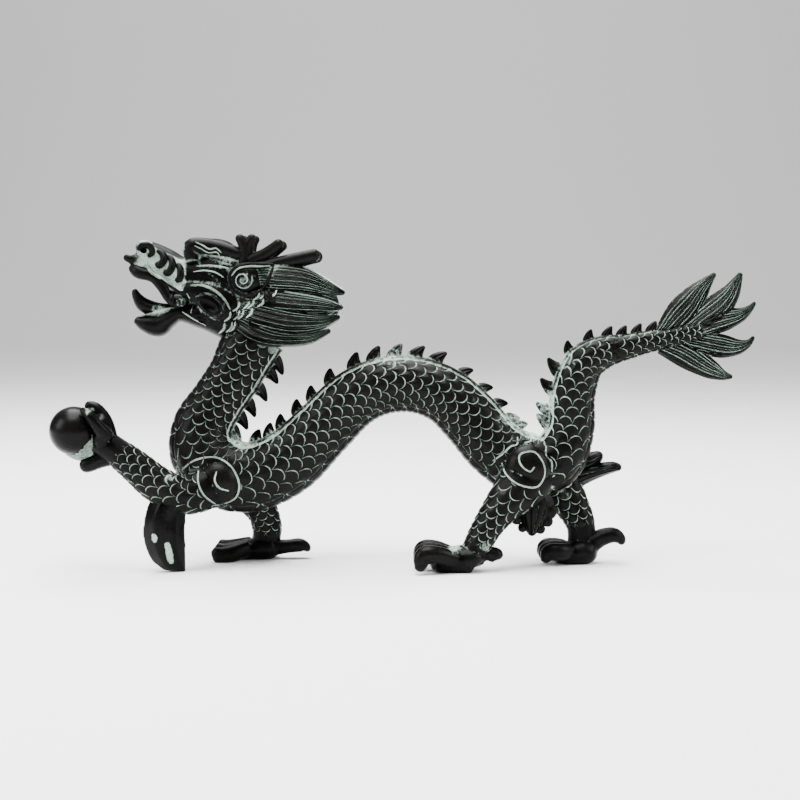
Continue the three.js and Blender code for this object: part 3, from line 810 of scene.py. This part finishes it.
# Raised lines of the face: name, half width, lift, marks, and points in X and Z.
HEAD_BEADS = [
    # Painted highlight: the pale lip cord stands for the glint along the top edge of the upper lip.
    ("lip", 0.55, 0.0, PALE, [(-81.6, 96.2), (-81, 94.4), (-79.8, 92.7), (-77, 90.9),
        (-73.9, 89.1), (-70.4, 87)]),
    ("snout_curl_a", 1.3, 0.0, SHADE, [(-78.4, 99.6), (-76.4, 98.2), (-76, 96.2), (-77.4, 94.8),
        (-78.4, 95.8)]),
    ("snout_curl_b", 1.3, 0.0, SHADE, [(-75, 98), (-73.4, 96), (-73.6, 93.6), (-75, 92.4),
        (-75.8, 93.4)]),
    ("snout_curl_c", 1.3, 0.0, SHADE, [(-71.8, 95.6), (-70.6, 93), (-71, 90.6), (-72.4, 90)]),
    ("snout_wing", 1.1, 0.1, SHADE, [(-84, 99.4), (-82.6, 101), (-80.4, 100.8), (-79.6, 98.8),
        (-81, 97.4)]),
    # Painted highlight: the pale brow line stands for the glint along the brow ridge.
    ("brow_line", 0.32, 0.0, PALE, [(-65.8, 94.5), (-62, 94.7), (-58, 94.3), (-55.4, 93.8)]),
    ("brow_fold_a", 0.35, 0.0, SOFT, [(-64.2, 99), (-61, 96.8), (-57.4, 95.4), (-54.6, 94.8)]),
    ("brow_fold_b", 0.35, 0.0, SOFT, [(-64.6, 98.6), (-65, 96.4), (-64.4, 94.8)]),
    ("cheek_ridge", 0.42, 0.0, PALE, [(-67.4, 88.5), (-64.3, 88.6), (-61.4, 87.8),
        (-58.4, 85.9), (-56.2, 83.4), (-55, 81)]),
    ("jaw_rim", 0.4, 0.0, SOFT, [(-65.8, 85), (-62.4, 86), (-59, 84.4), (-56.8, 81.6),
        (-57.8, 79.4), (-60.6, 79), (-64, 81)]),
    ("jaw_line", 0.4, 0.0, PALE, [(-84.4, 78.8), (-81.4, 79.6), (-78, 80.6), (-74.6, 81.4),
        (-72, 82)]),
    ("mouth_post", 0.9, 0.0, SHADE, [(-73.2, 86.8), (-73.4, 84.4), (-72.8, 81.8)]),
    ("eye_lid", 0.9, 0.15, SHADE, [(-55.2, 89.6), (-54.8, 92.2), (-52.4, 94.2), (-49, 95),
        (-45, 95), (-41.2, 95)]),
    ("eye_lid_light", 0.3, 0.55, PALE, [(-54.6, 91.4), (-52.4, 93.7), (-49.2, 94.4),
        (-45.6, 94.4), (-42.4, 94.6)]),
    ("eye_under", 0.7, 0.15, SHADE, [(-55.2, 89.8), (-54.2, 87.4), (-51, 85.5), (-47.8, 85.6),
        (-45, 87.4), (-42.8, 90.8), (-41.4, 94.6)]),
    ("eye_under_light", 0.3, 0.5, SOFT, [(-53.8, 87.6), (-50.8, 85.9), (-48, 86), (-45.6, 87.6)]),
    ("ear_dark", 1.1, -0.2, SHADE, [(-44, 87), (-43.2, 85.2), (-41, 83.4)]),
]
# Cut lines of the face: name, and points in X and Z.
FACE_GROOVES = [
    ("curl_a", [(-65.8, 102), (-63.6, 101), (-61.6, 99.8), (-59.4, 100), (-57.8, 98.6)]),
    ("curl_b", [(-66, 100.8), (-64, 99.8), (-61.8, 98.6), (-59.2, 98.8), (-58.4, 97.6)]),
    ("temple", [(-66.6, 92.8), (-63, 93.2), (-59.6, 92.6), (-57, 91)]),
    ("under_cheek", [(-68.6, 86.2), (-67.2, 83), (-67.6, 80)]),
    ("jaw_fold", [(-70.4, 80.4), (-67, 78.2), (-63, 76)]),
    ("ear_root", [(-46.6, 84.6), (-43.6, 86.6), (-41.6, 89.4)]),
]
CHIN_TUFT = [(-49.4, 78), (-46.8, 78.2), (-44.6, 76.2), (-46, 74.6), (-48.8, 71.6), (-50, 75)]


def spiral(middle, outer, inner, turns, start):
    share = np.linspace(0, 1, 26)
    reach = outer + (inner - outer) * share
    turn = math.radians(start) + 2 * math.pi * turns * share
    return [(middle[0] + r * math.cos(t), middle[1] + r * math.sin(t)) for r, t in zip(reach, turn)]


def hair_strokes():
    """Rows of short strokes that run down the cheek and jaw, drawn in X and Z."""
    strokes = []
    for left, right, top, low, count in (
        (-48.6, -41.6, 86.0, 83.6, 5), (-53.2, -45.4, 83.4, 80.6, 6), (-56.0, -49.0, 80.4, 77.4, 6),
        (-58.0, -53.4, 77.0, 73.6, 5), (-57.6, -54.4, 73.4, 70.2, 4),
    ):
        for x in np.linspace(left, right, count):
            z = top + (x - left) * 0.16
            drop = top - low
            strokes.append([(x + 1.1, z), (x + 0.7, z - drop * 0.55), (x - 1.1, z - drop)])
    return strokes


def dress_head(piece):
    """Adds the carved lines of the face, alike on both sides."""
    surface = surface_of(piece)
    for side, sign in SIDES:
        for name, radius, lift, marks, points in HEAD_BEADS:
            bead(f"{name}_{side}", drape(surface, points, sign, lift), radius, marks)
        for place, points in enumerate(hair_strokes()):
            marks = {"line": 0.6} if place % 3 else {"line": 0.2}
            bead(f"hair_{place}_{side}", drape(surface, points, sign, 0.15), 0.4, marks, sides=6)
        polygon(f"chin_tuft_{side}", CHIN_TUFT, 1.6, sign * 8.2, SHADE)
        ball(f"mouth_corner_{side}", (-70.6, sign * 6.4, 83.4), (1.6, 1.6, 1.6), rings=10,
             marks={"bloom_and_highlight": 0.35})
        bead(f"eye_spiral_{side}", drape(surface, spiral((-51, 90.2), 3.0, 0.5, -1.7, 20), sign),
             0.22, {"line": 0.5}, group=CUTS, blunt=0.8)
        for name, points in FACE_GROOVES:
            bead(f"{name}_{side}", drape(surface, points, sign), 0.24, {"line": 0.8}, group=CUTS)
        for name, place, radii, tilt in (
            ("nostril", (-82.2, 5.4, 99.4), (1.1, 1.4, 0.9), 0),
            ("jaw_hollow", (-61.4, 9.6, 82.3), (3.9, 2.6, 2.4), -35),
            ("throat_hollow", (-64.2, 8.4, 77.4), (3.2, 3.4, 1.9), -15),
            ("cheek_slot", (-62.8, 8.6, 91), (3.6, 2, 1.1), -12),
        ):
            x, y, z = place
            ball(f"{name}_{side}", (x, sign * y, z), radii, rings=14, marks={"bloom_and_highlight": 2 * DARK},
                 group=CUTS, tilt=tilt)


def lay_antlers():
    for place, stations in enumerate([
        [(-50.6, -5.2, 95, 2.3, 2.4), (-50.4, -5.6, 99.6, 2, 2.1), (-51.4, -5.8, 102, 1.6, 1.7),
         (-53, -6, 104.2, 1.1, 1.2)],
        [(-50, -5.4, 99, 1.7, 1.8), (-49.2, -5.8, 102, 1.5, 1.6), (-47.6, -6, 104.2, 1.1, 1.2)],
        [(-49, -6, 96, 1.9, 2.1), (-44, -6.6, 98.4, 1.7, 1.9), (-38.8, -7.2, 102.2, 1.4, 1.6)],
        [(-47, -6.6, 93.6, 2, 2.2), (-37, -7.4, 96, 2, 2.2), (-27.2, -8, 98.2, 1.8, 2)],
    ]):
        both_sides(f"antler_{place}", stations, marks={"bloom_and_highlight": -0.3})


def lay_mane():
    """Grooved locks that rise out of the cheek and stream back to their tips."""
    for place, (grooves, stations) in enumerate([
        (9, [(-50, -4.6, 90.6, 2, 2.6), (-43, -7.2, 91.2, 2.6, 4.4), (-33, -7.8, 90.4, 2.6, 4.2),
             (-25, -6.8, 87.8, 1.8, 2.4), (-20, -5.8, 86.2, 0.7, 0.8)]),
        (6, [(-50, -5, 84.6, 2.2, 2.6), (-43, -8.2, 84.2, 3, 3.4), (-32, -8.6, 83, 2.8, 2.9),
             (-25, -7.6, 82.2, 1.9, 2), (-20.6, -6.6, 81.6, 0.7, 0.8)]),
        (8, [(-52, -5.4, 80.8, 2.2, 2.8), (-45, -8.4, 79.2, 3.2, 4), (-35, -8.6, 77.2, 3, 3.8),
             (-27, -7.2, 77.2, 1.9, 2.4), (-21.6, -6.2, 78.8, 0.7, 0.8)]),
        (6, [(-53, -5, 77, 2.2, 2.6), (-47, -7.6, 73.8, 2.8, 3.4), (-39, -7.6, 71.9, 2.6, 2.6),
             (-31, -6.4, 72, 1.6, 1.9), (-24.6, -5.6, 74.4, 0.6, 0.8)]),
    ]):
        for side, table in (("near", stations), ("far", mirror(stations))):
            lock(f"lock_{place}_{side}", table, grooves, relief=0.32, groove=0.17, wave=0.04,
                 marks={"bloom_and_highlight": -0.04}, rings=7, edge=0.95)
    lock("mane_core", [
        (-47, 0, 83, 8, 12.4), (-34, 0, 82.4, 7, 10.8), (-27, 0, 82.2, 4.6, 7.4),
        (-21.6, 0, 82.6, 1.4, 3.2),
    ], 16, relief=0.25, rings=7, marks={"bloom_and_highlight": -0.1})


# ---- Fusing and finish -----------------------------------------------------


def choose(piece):
    bpy.ops.object.select_all(action="DESELECT")
    piece.select_set(True)
    bpy.context.view_layer.objects.active = piece


def apply_boolean(piece, operation, other=None, group=None):
    choose(piece)
    step = piece.modifiers.new("boolean", "BOOLEAN")
    step.operation = operation
    step.solver = "MANIFOLD"
    if group:
        step.operand_type = "COLLECTION"
        step.collection = collection(group)
    else:
        step.object = other
    bpy.ops.object.modifier_apply(modifier=step.name)


def clear(group):
    for piece in list(collection(group).objects):
        bpy.data.objects.remove(piece)
    bpy.data.collections.remove(collection(group))


def fuse(name, group=FORMS, onto=None):
    """Joins a group's forms into one closed piece."""
    forms = list(collection(group).objects)
    if onto is None:
        onto = forms[0]
        collection(group).objects.unlink(onto)
        bpy.context.scene.collection.objects.link(onto)
        onto.name = name
        onto.data.name = name
    apply_boolean(onto, "UNION", group=group)
    clear(group)
    return onto


def knead(group, name, marks, voxel=0.5):
    """Fuses a group's forms and rounds their joints off, as wax is smoothed before casting."""
    piece = fuse(name, group)
    choose(piece)
    blend = piece.modifiers.new("blend", "REMESH")
    blend.mode = "VOXEL"
    blend.voxel_size = voxel * MM
    blend.use_smooth_shade = True
    bpy.ops.object.modifier_apply(modifier=blend.name)
    soften = piece.modifiers.new("soften", "SMOOTH")
    soften.factor = 0.5
    soften.iterations = 3
    bpy.ops.object.modifier_apply(modifier=soften.name)
    count = len(piece.data.vertices)
    given = {"made": 1.0, **marks}
    for mark in MARKS:
        if mark in piece.data.attributes:
            piece.data.attributes.remove(piece.data.attributes[mark])
        write_mark(piece.data, mark, np.full(count, given.get(mark, 0.0)))
    bpy.context.scene.collection.objects.unlink(piece)
    collection(FORMS).objects.link(piece)


def cut_ground(casting):
    half = NODE_HIGH.x - NODE_LOW.x
    bpy.ops.mesh.primitive_cube_add(size=half * 2, location=(0, 0, NODE_LOW.z - half))
    slab = bpy.context.active_object
    apply_boolean(casting, "DIFFERENCE", other=slab)
    bpy.data.objects.remove(slab)


def read_mark(mesh, mark):
    value = np.zeros(len(mesh.vertices))
    mesh.attributes[mark].data.foreach_get("value", value)
    return value


def write_mark(mesh, mark, value):
    if mark not in mesh.attributes:
        mesh.attributes.new(mark, "FLOAT", "POINT")
    mesh.attributes[mark].data.foreach_set("value", value.astype(np.float32))


def read_points(mesh):
    points = np.empty(len(mesh.vertices) * 3)
    mesh.vertices.foreach_get("co", points)
    return (points.reshape(-1, 3) - MIDDLE) / MM


def read_edges(mesh):
    pairs = np.empty(len(mesh.edges) * 2, np.int64)
    mesh.edges.foreach_get("vertices", pairs)
    return pairs.reshape(-1, 2)


def neighbour_sum(values, pairs):
    total = np.zeros_like(values)
    for a, b in ((0, 1), (1, 0)):
        for column in range(values.shape[1]):
            total[:, column] += np.bincount(pairs[:, a], values[pairs[:, b], column], len(values))
    return total


def mend_marks(mesh, pairs):
    """Gives the vertices that the joins made the marks of the vertices around them.

    Lines end there, which keeps the pale line inside its groove.
    """
    names = [mark for mark in MARKS if mark != "made"]
    known = (read_mark(mesh, "made") > 0.5).astype(float)
    values = np.stack([read_mark(mesh, mark) for mark in names], axis=1) * known[:, None]
    for _ in range(6):
        around = neighbour_sum(np.column_stack([known, values]), pairs)
        lost = (known == 0) & (around[:, 0] > 0)
        values[lost] = around[lost, 1:] / around[lost, :1]
        values[lost, 0] = 0
        known[lost] = 1
    for column, mark in enumerate(names):
        write_mark(mesh, mark, values[:, column])
    mesh.attributes.remove(mesh.attributes["made"])


def mark_hollows(mesh, pairs):
    """Stores how far each vertex lies in a hollow or on a crest, against its surroundings."""
    points = read_points(mesh)
    degree = np.maximum(neighbour_sum(np.ones((len(points), 1)), pairs), 1)
    normals = np.empty(len(points) * 3)
    mesh.vertices.foreach_get("normal", normals)
    normals = normals.reshape(-1, 3)
    smooth = points
    lift = np.zeros(len(points))
    for rounds in (3, 9):
        for _ in range(rounds):
            smooth = neighbour_sum(smooth, pairs) / degree
        lift += ((smooth - points) * normals).sum(1)
    lift = (lift[:, None] + neighbour_sum(lift[:, None], pairs) / degree)[:, 0] / 2
    write_mark(mesh, "hollow", np.clip(lift / 0.25, 0, 1))
    write_mark(mesh, "crest", np.clip(-lift / 0.3, 0, 1))


# Places painted paler, as X, Z, reach and strength: powdery verdigris, and painted highlights where
# marked below.
DUST_AND_HIGHLIGHTS = [
    (-52.2, 39.4, 4.2, 0.8), (39.6, 43.8, 5.5, 0.9), (34, 47.5, 3.6, 0.4), (43.6, 51, 4.6, 0.5),
    (-73.4, 29.4, 2.6, 0.5), (-46, 97.6, 3, 0.5), (-40.5, 95.6, 3.4, 0.5), (50.5, 22.5, 4, 0.3),
    (14.5, 8.5, 3.4, 1.3), (24, 8, 2.8, 0.6), (-70.5, 31.5, 3, 0.35), (-78, 81, 3, 0.5),
    (-43, 91, 4, 0.2), (-30, 84, 9, 0.1), (-49.8, 90.4, 3.4, 0.3), (-60, 90, 5, 0.16),
    # Painted highlight: (-97, 50.5) lightens the top of the upper claw over the pearl.
    (-56, 95.6, 4, 0.2), (-50, 82, 4, 0.22), (-65.4, 83, 3, 0.14), (-97, 50.5, 2.4, 0.8),
    # Painted highlights: (-51.5, 104.6) and (-38.6, 102.6) lighten the tops of the antler tips.
    (-51.5, 104.6, 1.8, 0.7), (-38.6, 102.6, 1.8, 0.5), (-4, 66.4, 9, 0.35), (50.5, 64, 5, 0.35),
    # Painted reflections: the six entries of strength 2.1, from (-78, 11.6) to (-73, 3.6), paint
    # two pale slits on the glossy elbow tuft where the lights reflect.
    (45, 54, 4, 0.3), (-78, 11.6, 1.5, 2.1), (-77.9, 10.4, 1.4, 2.1), (-73.9, 9, 1.6, 2.1),
    (-73.6, 7.2, 1.7, 2.1), (-73.3, 5.4, 1.7, 2.1), (-73, 3.6, 1.5, 2.1), (20, 54, 6, 0.22),
    (30, 46.5, 5, 0.35), (-42, 40.6, 5, 0.35), (-30, 50, 6, 0.2),
]


def gather_dust_and_highlights(mesh):
    points = read_points(mesh)
    x, y, z = points.T
    bloom_and_highlight = read_mark(mesh, "bloom_and_highlight")
    # Adds the table's verdigris and its painted highlights alike to the pale mark.
    for mid_x, mid_z, reach, strength in DUST_AND_HIGHLIGHTS:
        bloom_and_highlight += strength * np.exp(-((x - mid_x) ** 2 + (z - mid_z) ** 2) / (0.5 * reach**2))
    lip = np.interp(x, [-86, -81, -77, -70, -66], [94, 95, 90.6, 86.4, 88])
    snout = np.clip((z - lip) / 0.8, 0, 1) * np.clip((-68.6 - x) / 2.5, 0, 1)
    snout *= np.clip((x + 85.6) / 3, 0, 1) * np.clip((np.abs(y) - 3) / 1, 0, 1)
    write_mark(mesh, "bloom_and_highlight", bloom_and_highlight + np.where(bloom_and_highlight < DARK / 2, 0.0, 1.1 * snout))


# ---- Materials -------------------------------------------------------------


class Nodes:
    """Small helper that adds and links shader nodes."""

    def __init__(self, name):
        self.material = bpy.data.materials.new(name)
        self.material.use_nodes = True
        self.tree = self.material.node_tree
        self.shader = next(n for n in self.tree.nodes if n.type == "BSDF_PRINCIPLED")

    def add(self, kind, **settings):
        node = self.tree.nodes.new(kind)
        for key, value in settings.items():
            setattr(node, key, value)
        return node

    def feed(self, socket, value):
        if hasattr(value, "is_output"):
            self.tree.links.new(value, socket)
        else:
            socket.default_value = value

    def math(self, operation, first, second):
        node = self.add("ShaderNodeMath", operation=operation)
        self.feed(node.inputs[0], first)
        self.feed(node.inputs[1], second)
        return node.outputs[0]

    def mark(self, name):
        return self.add("ShaderNodeAttribute", attribute_name=name).outputs["Fac"]

    def noise(self, scale, detail, roughness, place):
        node = self.add("ShaderNodeTexNoise")
        node.inputs["Scale"].default_value = scale
        node.inputs["Detail"].default_value = detail
        node.inputs["Roughness"].default_value = roughness
        self.feed(node.inputs["Vector"], place)
        return node.outputs["Fac"]

    def place(self):
        return self.add("ShaderNodeTexCoord").outputs["Object"]

    def span(self, value, low, high, to_low=0.0, to_high=1.0):
        node = self.add("ShaderNodeMapRange", clamp=True)
        for socket, number in zip(node.inputs, (value, low, high, to_low, to_high)):
            self.feed(socket, number)
        return node.outputs[0]

    def mix(self, share, first, second):
        node = self.add("ShaderNodeMix", data_type="RGBA")
        self.feed(node.inputs["Factor"], share)
        self.feed(node.inputs[6], first)
        self.feed(node.inputs[7], second)
        return node.outputs[2]


HOLLOW_SHARE = 0.42      # how much verdigris a hollow holds, against a line's
GLOSS_GAIN = 0.14        # how much smoother a polished place is
BRONZE_SPECULAR = 0.06


def paint_bronze(finish):
    """Near-black bronze, rubbed brown on the crests, with pale verdigris in every hollow and
    painted highlights.
    """
    kit = Nodes(BRONZE)
    place = kit.place()
    broad = kit.noise(60, 5, 0.6, place)
    fine = kit.noise(900, 6, 0.7, place)
    speck = kit.noise(2600, 4, 0.6, place)
    line, bloom_and_highlight, gloss = kit.mark("line"), kit.mark("bloom_and_highlight"), kit.mark("gloss")
    hollow, crest = kit.mark("hollow"), kit.mark("crest")
    rub = kit.math("MULTIPLY", kit.span(crest, 0.15, 0.8), kit.span(broad, 0.35, 0.65, 0.3, 1.0))
    dark = kit.mix(kit.span(fine, 0.35, 0.7), (*finish.bronze_dark, 1), (*finish.bronze_brown, 1))
    metal = kit.mix(rub, dark, (*finish.bronze_rubbed, 1))
    depth = kit.math("ADD", kit.math("MULTIPLY", hollow, HOLLOW_SHARE), line)
    cloud = kit.math("MULTIPLY", bloom_and_highlight, kit.span(fine, 0.3, 0.62, 0.25, 1.15))
    amount = kit.math("ADD", depth, cloud)
    ragged = kit.math("ADD", amount, kit.span(fine, 0.2, 0.8, -0.18, 0.18))
    patchy = kit.span(broad, 0.25, 0.5, 0.5, 1.0)
    # The pale share holds real verdigris and also the painted highlights on the lip, the brow and
    # in the dust table.
    verdigris = kit.math("MULTIPLY", kit.span(ragged, 0.3, 0.72), patchy)
    grey, pale = (*finish.verdigris_grey_and_highlight, 1), (*finish.verdigris_pale_and_highlight, 1)
    tint = kit.mix(kit.span(speck, 0.35, 0.7), grey, pale)
    colour = kit.mix(verdigris, metal, tint)
    kit.feed(kit.shader.inputs["Base Color"], colour)
    kit.feed(kit.shader.inputs["Metallic"], kit.span(verdigris, 0.1, 0.8, 0.15, 0.0))
    polish = kit.math("MULTIPLY", gloss, GLOSS_GAIN)
    worn = kit.math("SUBTRACT", kit.span(fine, 0.3, 0.7, 0.26, 0.42), polish)
    rough = kit.math("MAXIMUM", worn, kit.span(verdigris, 0.1, 0.8, 0.2, 0.8))
    kit.feed(kit.shader.inputs["Roughness"], rough)
    kit.shader.inputs["Specular IOR Level"].default_value = BRONZE_SPECULAR
    bump = kit.add("ShaderNodeBump")
    bump.inputs["Strength"].default_value = 0.35
    bump.inputs["Distance"].default_value = 0.0002
    grain = kit.math("ADD", fine, kit.math("MULTIPLY", speck, 0.5))
    kit.feed(bump.inputs["Height"], grain)
    kit.feed(kit.shader.inputs["Normal"], bump.outputs["Normal"])
    return kit.material


def paint_floor(finish):
    kit = Nodes("pale_floor")
    kit.feed(kit.shader.inputs["Base Color"], (*finish.floor, 1))
    kit.feed(kit.shader.inputs["Roughness"], 0.75)
    return kit.material


# ---- Sizes and colours a user would change ---------------------------------


class DragonSizes(PropertyGroup):
    scale_lanes: IntProperty(
        name="Scale lanes", description="Scales from the ridge to the belly on one side",
        default=4, min=3, max=8)
    scale_depth: FloatProperty(
        name="Scale depth", description="Relief of the scales against the drawn one", default=1.0,
        min=0.0, max=2.0)


class DragonFinish(PropertyGroup):
    bronze_dark: FloatVectorProperty(
        name="Dark bronze", description="Bronze in the shade of the patina", subtype="COLOR",
        default=(0.0003, 0.0003, 0.0004), min=0, max=1)
    bronze_brown: FloatVectorProperty(
        name="Brown bronze", description="Cloudy brown in the dark bronze", subtype="COLOR",
        default=(0.0012, 0.0011, 0.001), min=0, max=1)
    bronze_rubbed: FloatVectorProperty(
        name="Rubbed bronze", description="Bronze on the crests", subtype="COLOR",
        default=(0.004, 0.0037, 0.0035), min=0, max=1)
    # The two verdigris colours also paint the highlights.
    verdigris_pale_and_highlight: FloatVectorProperty(
        name="Pale verdigris", description="Powdery verdigris in the hollows", subtype="COLOR",
        default=(0.50, 0.62, 0.55), min=0, max=1)
    verdigris_grey_and_highlight: FloatVectorProperty(
        name="Grey verdigris", description="Thin, dirty verdigris", subtype="COLOR",
        default=(0.19, 0.26, 0.225), min=0, max=1)
    floor: FloatVectorProperty(
        name="Floor", description="Colour of the floor", subtype="COLOR",
        default=(0.84, 0.84, 0.84), min=0, max=1)


# ---- Operators -------------------------------------------------------------


def finish_piece(piece, material):
    mesh = piece.data
    pairs = read_edges(mesh)
    mend_marks(mesh, pairs)
    mark_hollows(mesh, pairs)
    gather_dust_and_highlights(mesh)
    choose(piece)
    bpy.ops.object.shade_smooth_by_angle(angle=math.radians(50))
    mesh.materials.clear()
    mesh.materials.append(material)
    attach(piece, "root")
    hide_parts("dragon")


def bronze():
    return bpy.data.materials.get(BRONZE) or paint_bronze(bpy.context.scene.dragon_finish)


class DRAGON_OT_body(Operator):
    """Cast the body, the legs, the pearl in its paw and the tail"""

    bl_idname = "dragon.cast_body"
    bl_label = "Body, legs and tail"

    def execute(self, context):
        sizes = context.scene.dragon_sizes
        lay_body(sizes)
        lay_spikes()
        lay_bosses()
        lay_hind_legs(sizes)
        lay_front_leg(sizes)
        lay_pearl_arm(sizes)
        lay_tail_fins()
        piece = fuse("dragon_body")
        cut_joint_lines(piece)
        cut_ground(piece)
        finish_piece(piece, bronze())
        return {"FINISHED"}


class DRAGON_OT_head(Operator):
    """Cast the head with its carved face, the antlers and the mane"""

    bl_idname = "dragon.cast_head"
    bl_label = "Head and mane"

    def execute(self, context):
        lay_head()
        lay_antlers()
        lay_mane()
        piece = fuse("dragon_head")
        dress_head(piece)
        fuse("dragon_head", onto=piece)
        apply_boolean(piece, "DIFFERENCE", group=CUTS)
        clear(CUTS)
        finish_piece(piece, bronze())
        return {"FINISHED"}


# The stage, in metres, degrees and watts.
CAMERA_HEIGHT = 0.0835
CAMERA_BACK = 0.48
CAMERA_ASIDE = -0.0026
CAMERA_PITCH = 3.7
CAMERA_LENS = 68.5
ROOM_LIGHT = 0.2
LIGHT_AIM = (0, 0, 0.06)
# Name, place, power, size and aim.
LIGHTS = (
    ("top_softbox", (-0.1, 0.0, 0.75), 34, (0.9, 0.5), LIGHT_AIM),
    ("left_softbox", (-0.75, -0.3, 0.4), 8, (0.4, 0.5), LIGHT_AIM),
    ("right_softbox", (0.75, -0.2, 0.45), 8, (0.4, 0.5), LIGHT_AIM),
    ("wall_wash", (0, 1.7, 2.2), 45, (3, 0.8), (0, 2.4, 0)),
)


class DRAGON_OT_stage(Operator):
    """Lay the floor and set the lights and the camera"""

    bl_idname = "dragon.set_stage"
    bl_label = "Stage"

    def execute(self, context):
        lay_floor(context.scene.dragon_finish)
        set_lights()
        set_camera()
        return {"FINISHED"}


def lay_floor(finish):
    bpy.ops.mesh.primitive_plane_add(size=6, location=(0, 0, NODE_LOW.z))
    floor = bpy.context.active_object
    floor.name = "floor"
    bpy.ops.object.mode_set(mode="EDIT")
    bpy.ops.mesh.select_all(action="DESELECT")
    bpy.ops.object.mode_set(mode="OBJECT")
    for edge in floor.data.edges:
        edge.select = all(floor.data.vertices[i].co.y > 0 for i in edge.vertices)
    bpy.ops.object.mode_set(mode="EDIT")
    bpy.ops.mesh.select_mode(type="EDGE")
    bpy.ops.mesh.extrude_region_move(TRANSFORM_OT_translate={"value": (0, 0.6, 3)})
    bpy.ops.object.mode_set(mode="OBJECT")
    bend = floor.modifiers.new("cove", "BEVEL")
    bend.width = 0.8
    bend.segments = 12
    bend.limit_method = "ANGLE"
    bpy.ops.object.modifier_apply(modifier=bend.name)
    bpy.ops.object.shade_smooth()
    floor.data.materials.append(paint_floor(finish))


def add_light(name, place, energy, size, aim):
    data = bpy.data.lights.new(name, "AREA")
    data.energy = energy
    data.shape = "RECTANGLE"
    data.size, data.size_y = size
    lamp = bpy.data.objects.new(name, data)
    bpy.context.scene.collection.objects.link(lamp)
    lamp.location = place
    spot = np.array(aim) - np.array(place)
    flat = math.hypot(spot[0], spot[1])
    tip, turn = math.atan2(spot[2], flat), math.atan2(-spot[0], spot[1])
    lamp.rotation_euler = (math.pi / 2 + tip, 0, turn)


def set_lights():
    world = bpy.data.worlds.new("soft_room")
    bpy.context.scene.world = world
    world.use_nodes = True
    background = world.node_tree.nodes["Background"]
    background.inputs["Color"].default_value = (1, 1, 1, 1)
    background.inputs["Strength"].default_value = ROOM_LIGHT
    for facts in LIGHTS:
        add_light(*facts)


def set_camera():
    data = bpy.data.cameras.new("camera")
    data.lens = CAMERA_LENS
    data.sensor_width = 36
    camera = bpy.data.objects.new("camera", data)
    bpy.context.scene.collection.objects.link(camera)
    camera.location = (CAMERA_ASIDE, -CAMERA_BACK, NODE_LOW.z + CAMERA_HEIGHT)
    camera.rotation_euler = (math.radians(90 - CAMERA_PITCH), 0, 0)
    bpy.context.scene.camera = camera


class DRAGON_PT_panel(Panel):
    bl_idname = "DRAGON_PT_panel"
    bl_label = "Bronze dragon"
    bl_space_type = "VIEW_3D"
    bl_region_type = "UI"
    bl_category = "Bronze dragon"

    def draw(self, context):
        layout = self.layout
        for group in (context.scene.dragon_sizes, context.scene.dragon_finish):
            for name in group.__annotations__:
                layout.prop(group, name)
        for operator in OPERATORS:
            layout.operator(operator.bl_idname)


OPERATORS = (DRAGON_OT_body, DRAGON_OT_head, DRAGON_OT_stage)
CLASSES = (DragonSizes, DragonFinish, *OPERATORS, DRAGON_PT_panel)


def register():
    for item in CLASSES:
        bpy.utils.register_class(item)
    bpy.types.Scene.dragon_sizes = PointerProperty(type=DragonSizes)
    bpy.types.Scene.dragon_finish = PointerProperty(type=DragonFinish)


def unregister():
    del bpy.types.Scene.dragon_finish
    del bpy.types.Scene.dragon_sizes
    for item in reversed(CLASSES):
        bpy.utils.unregister_class(item)


def main():
    register()
    bpy.ops.dragon.cast_body()
    bpy.ops.dragon.cast_head()
    bpy.ops.dragon.set_stage()


if __name__ == "__main__":
    main()
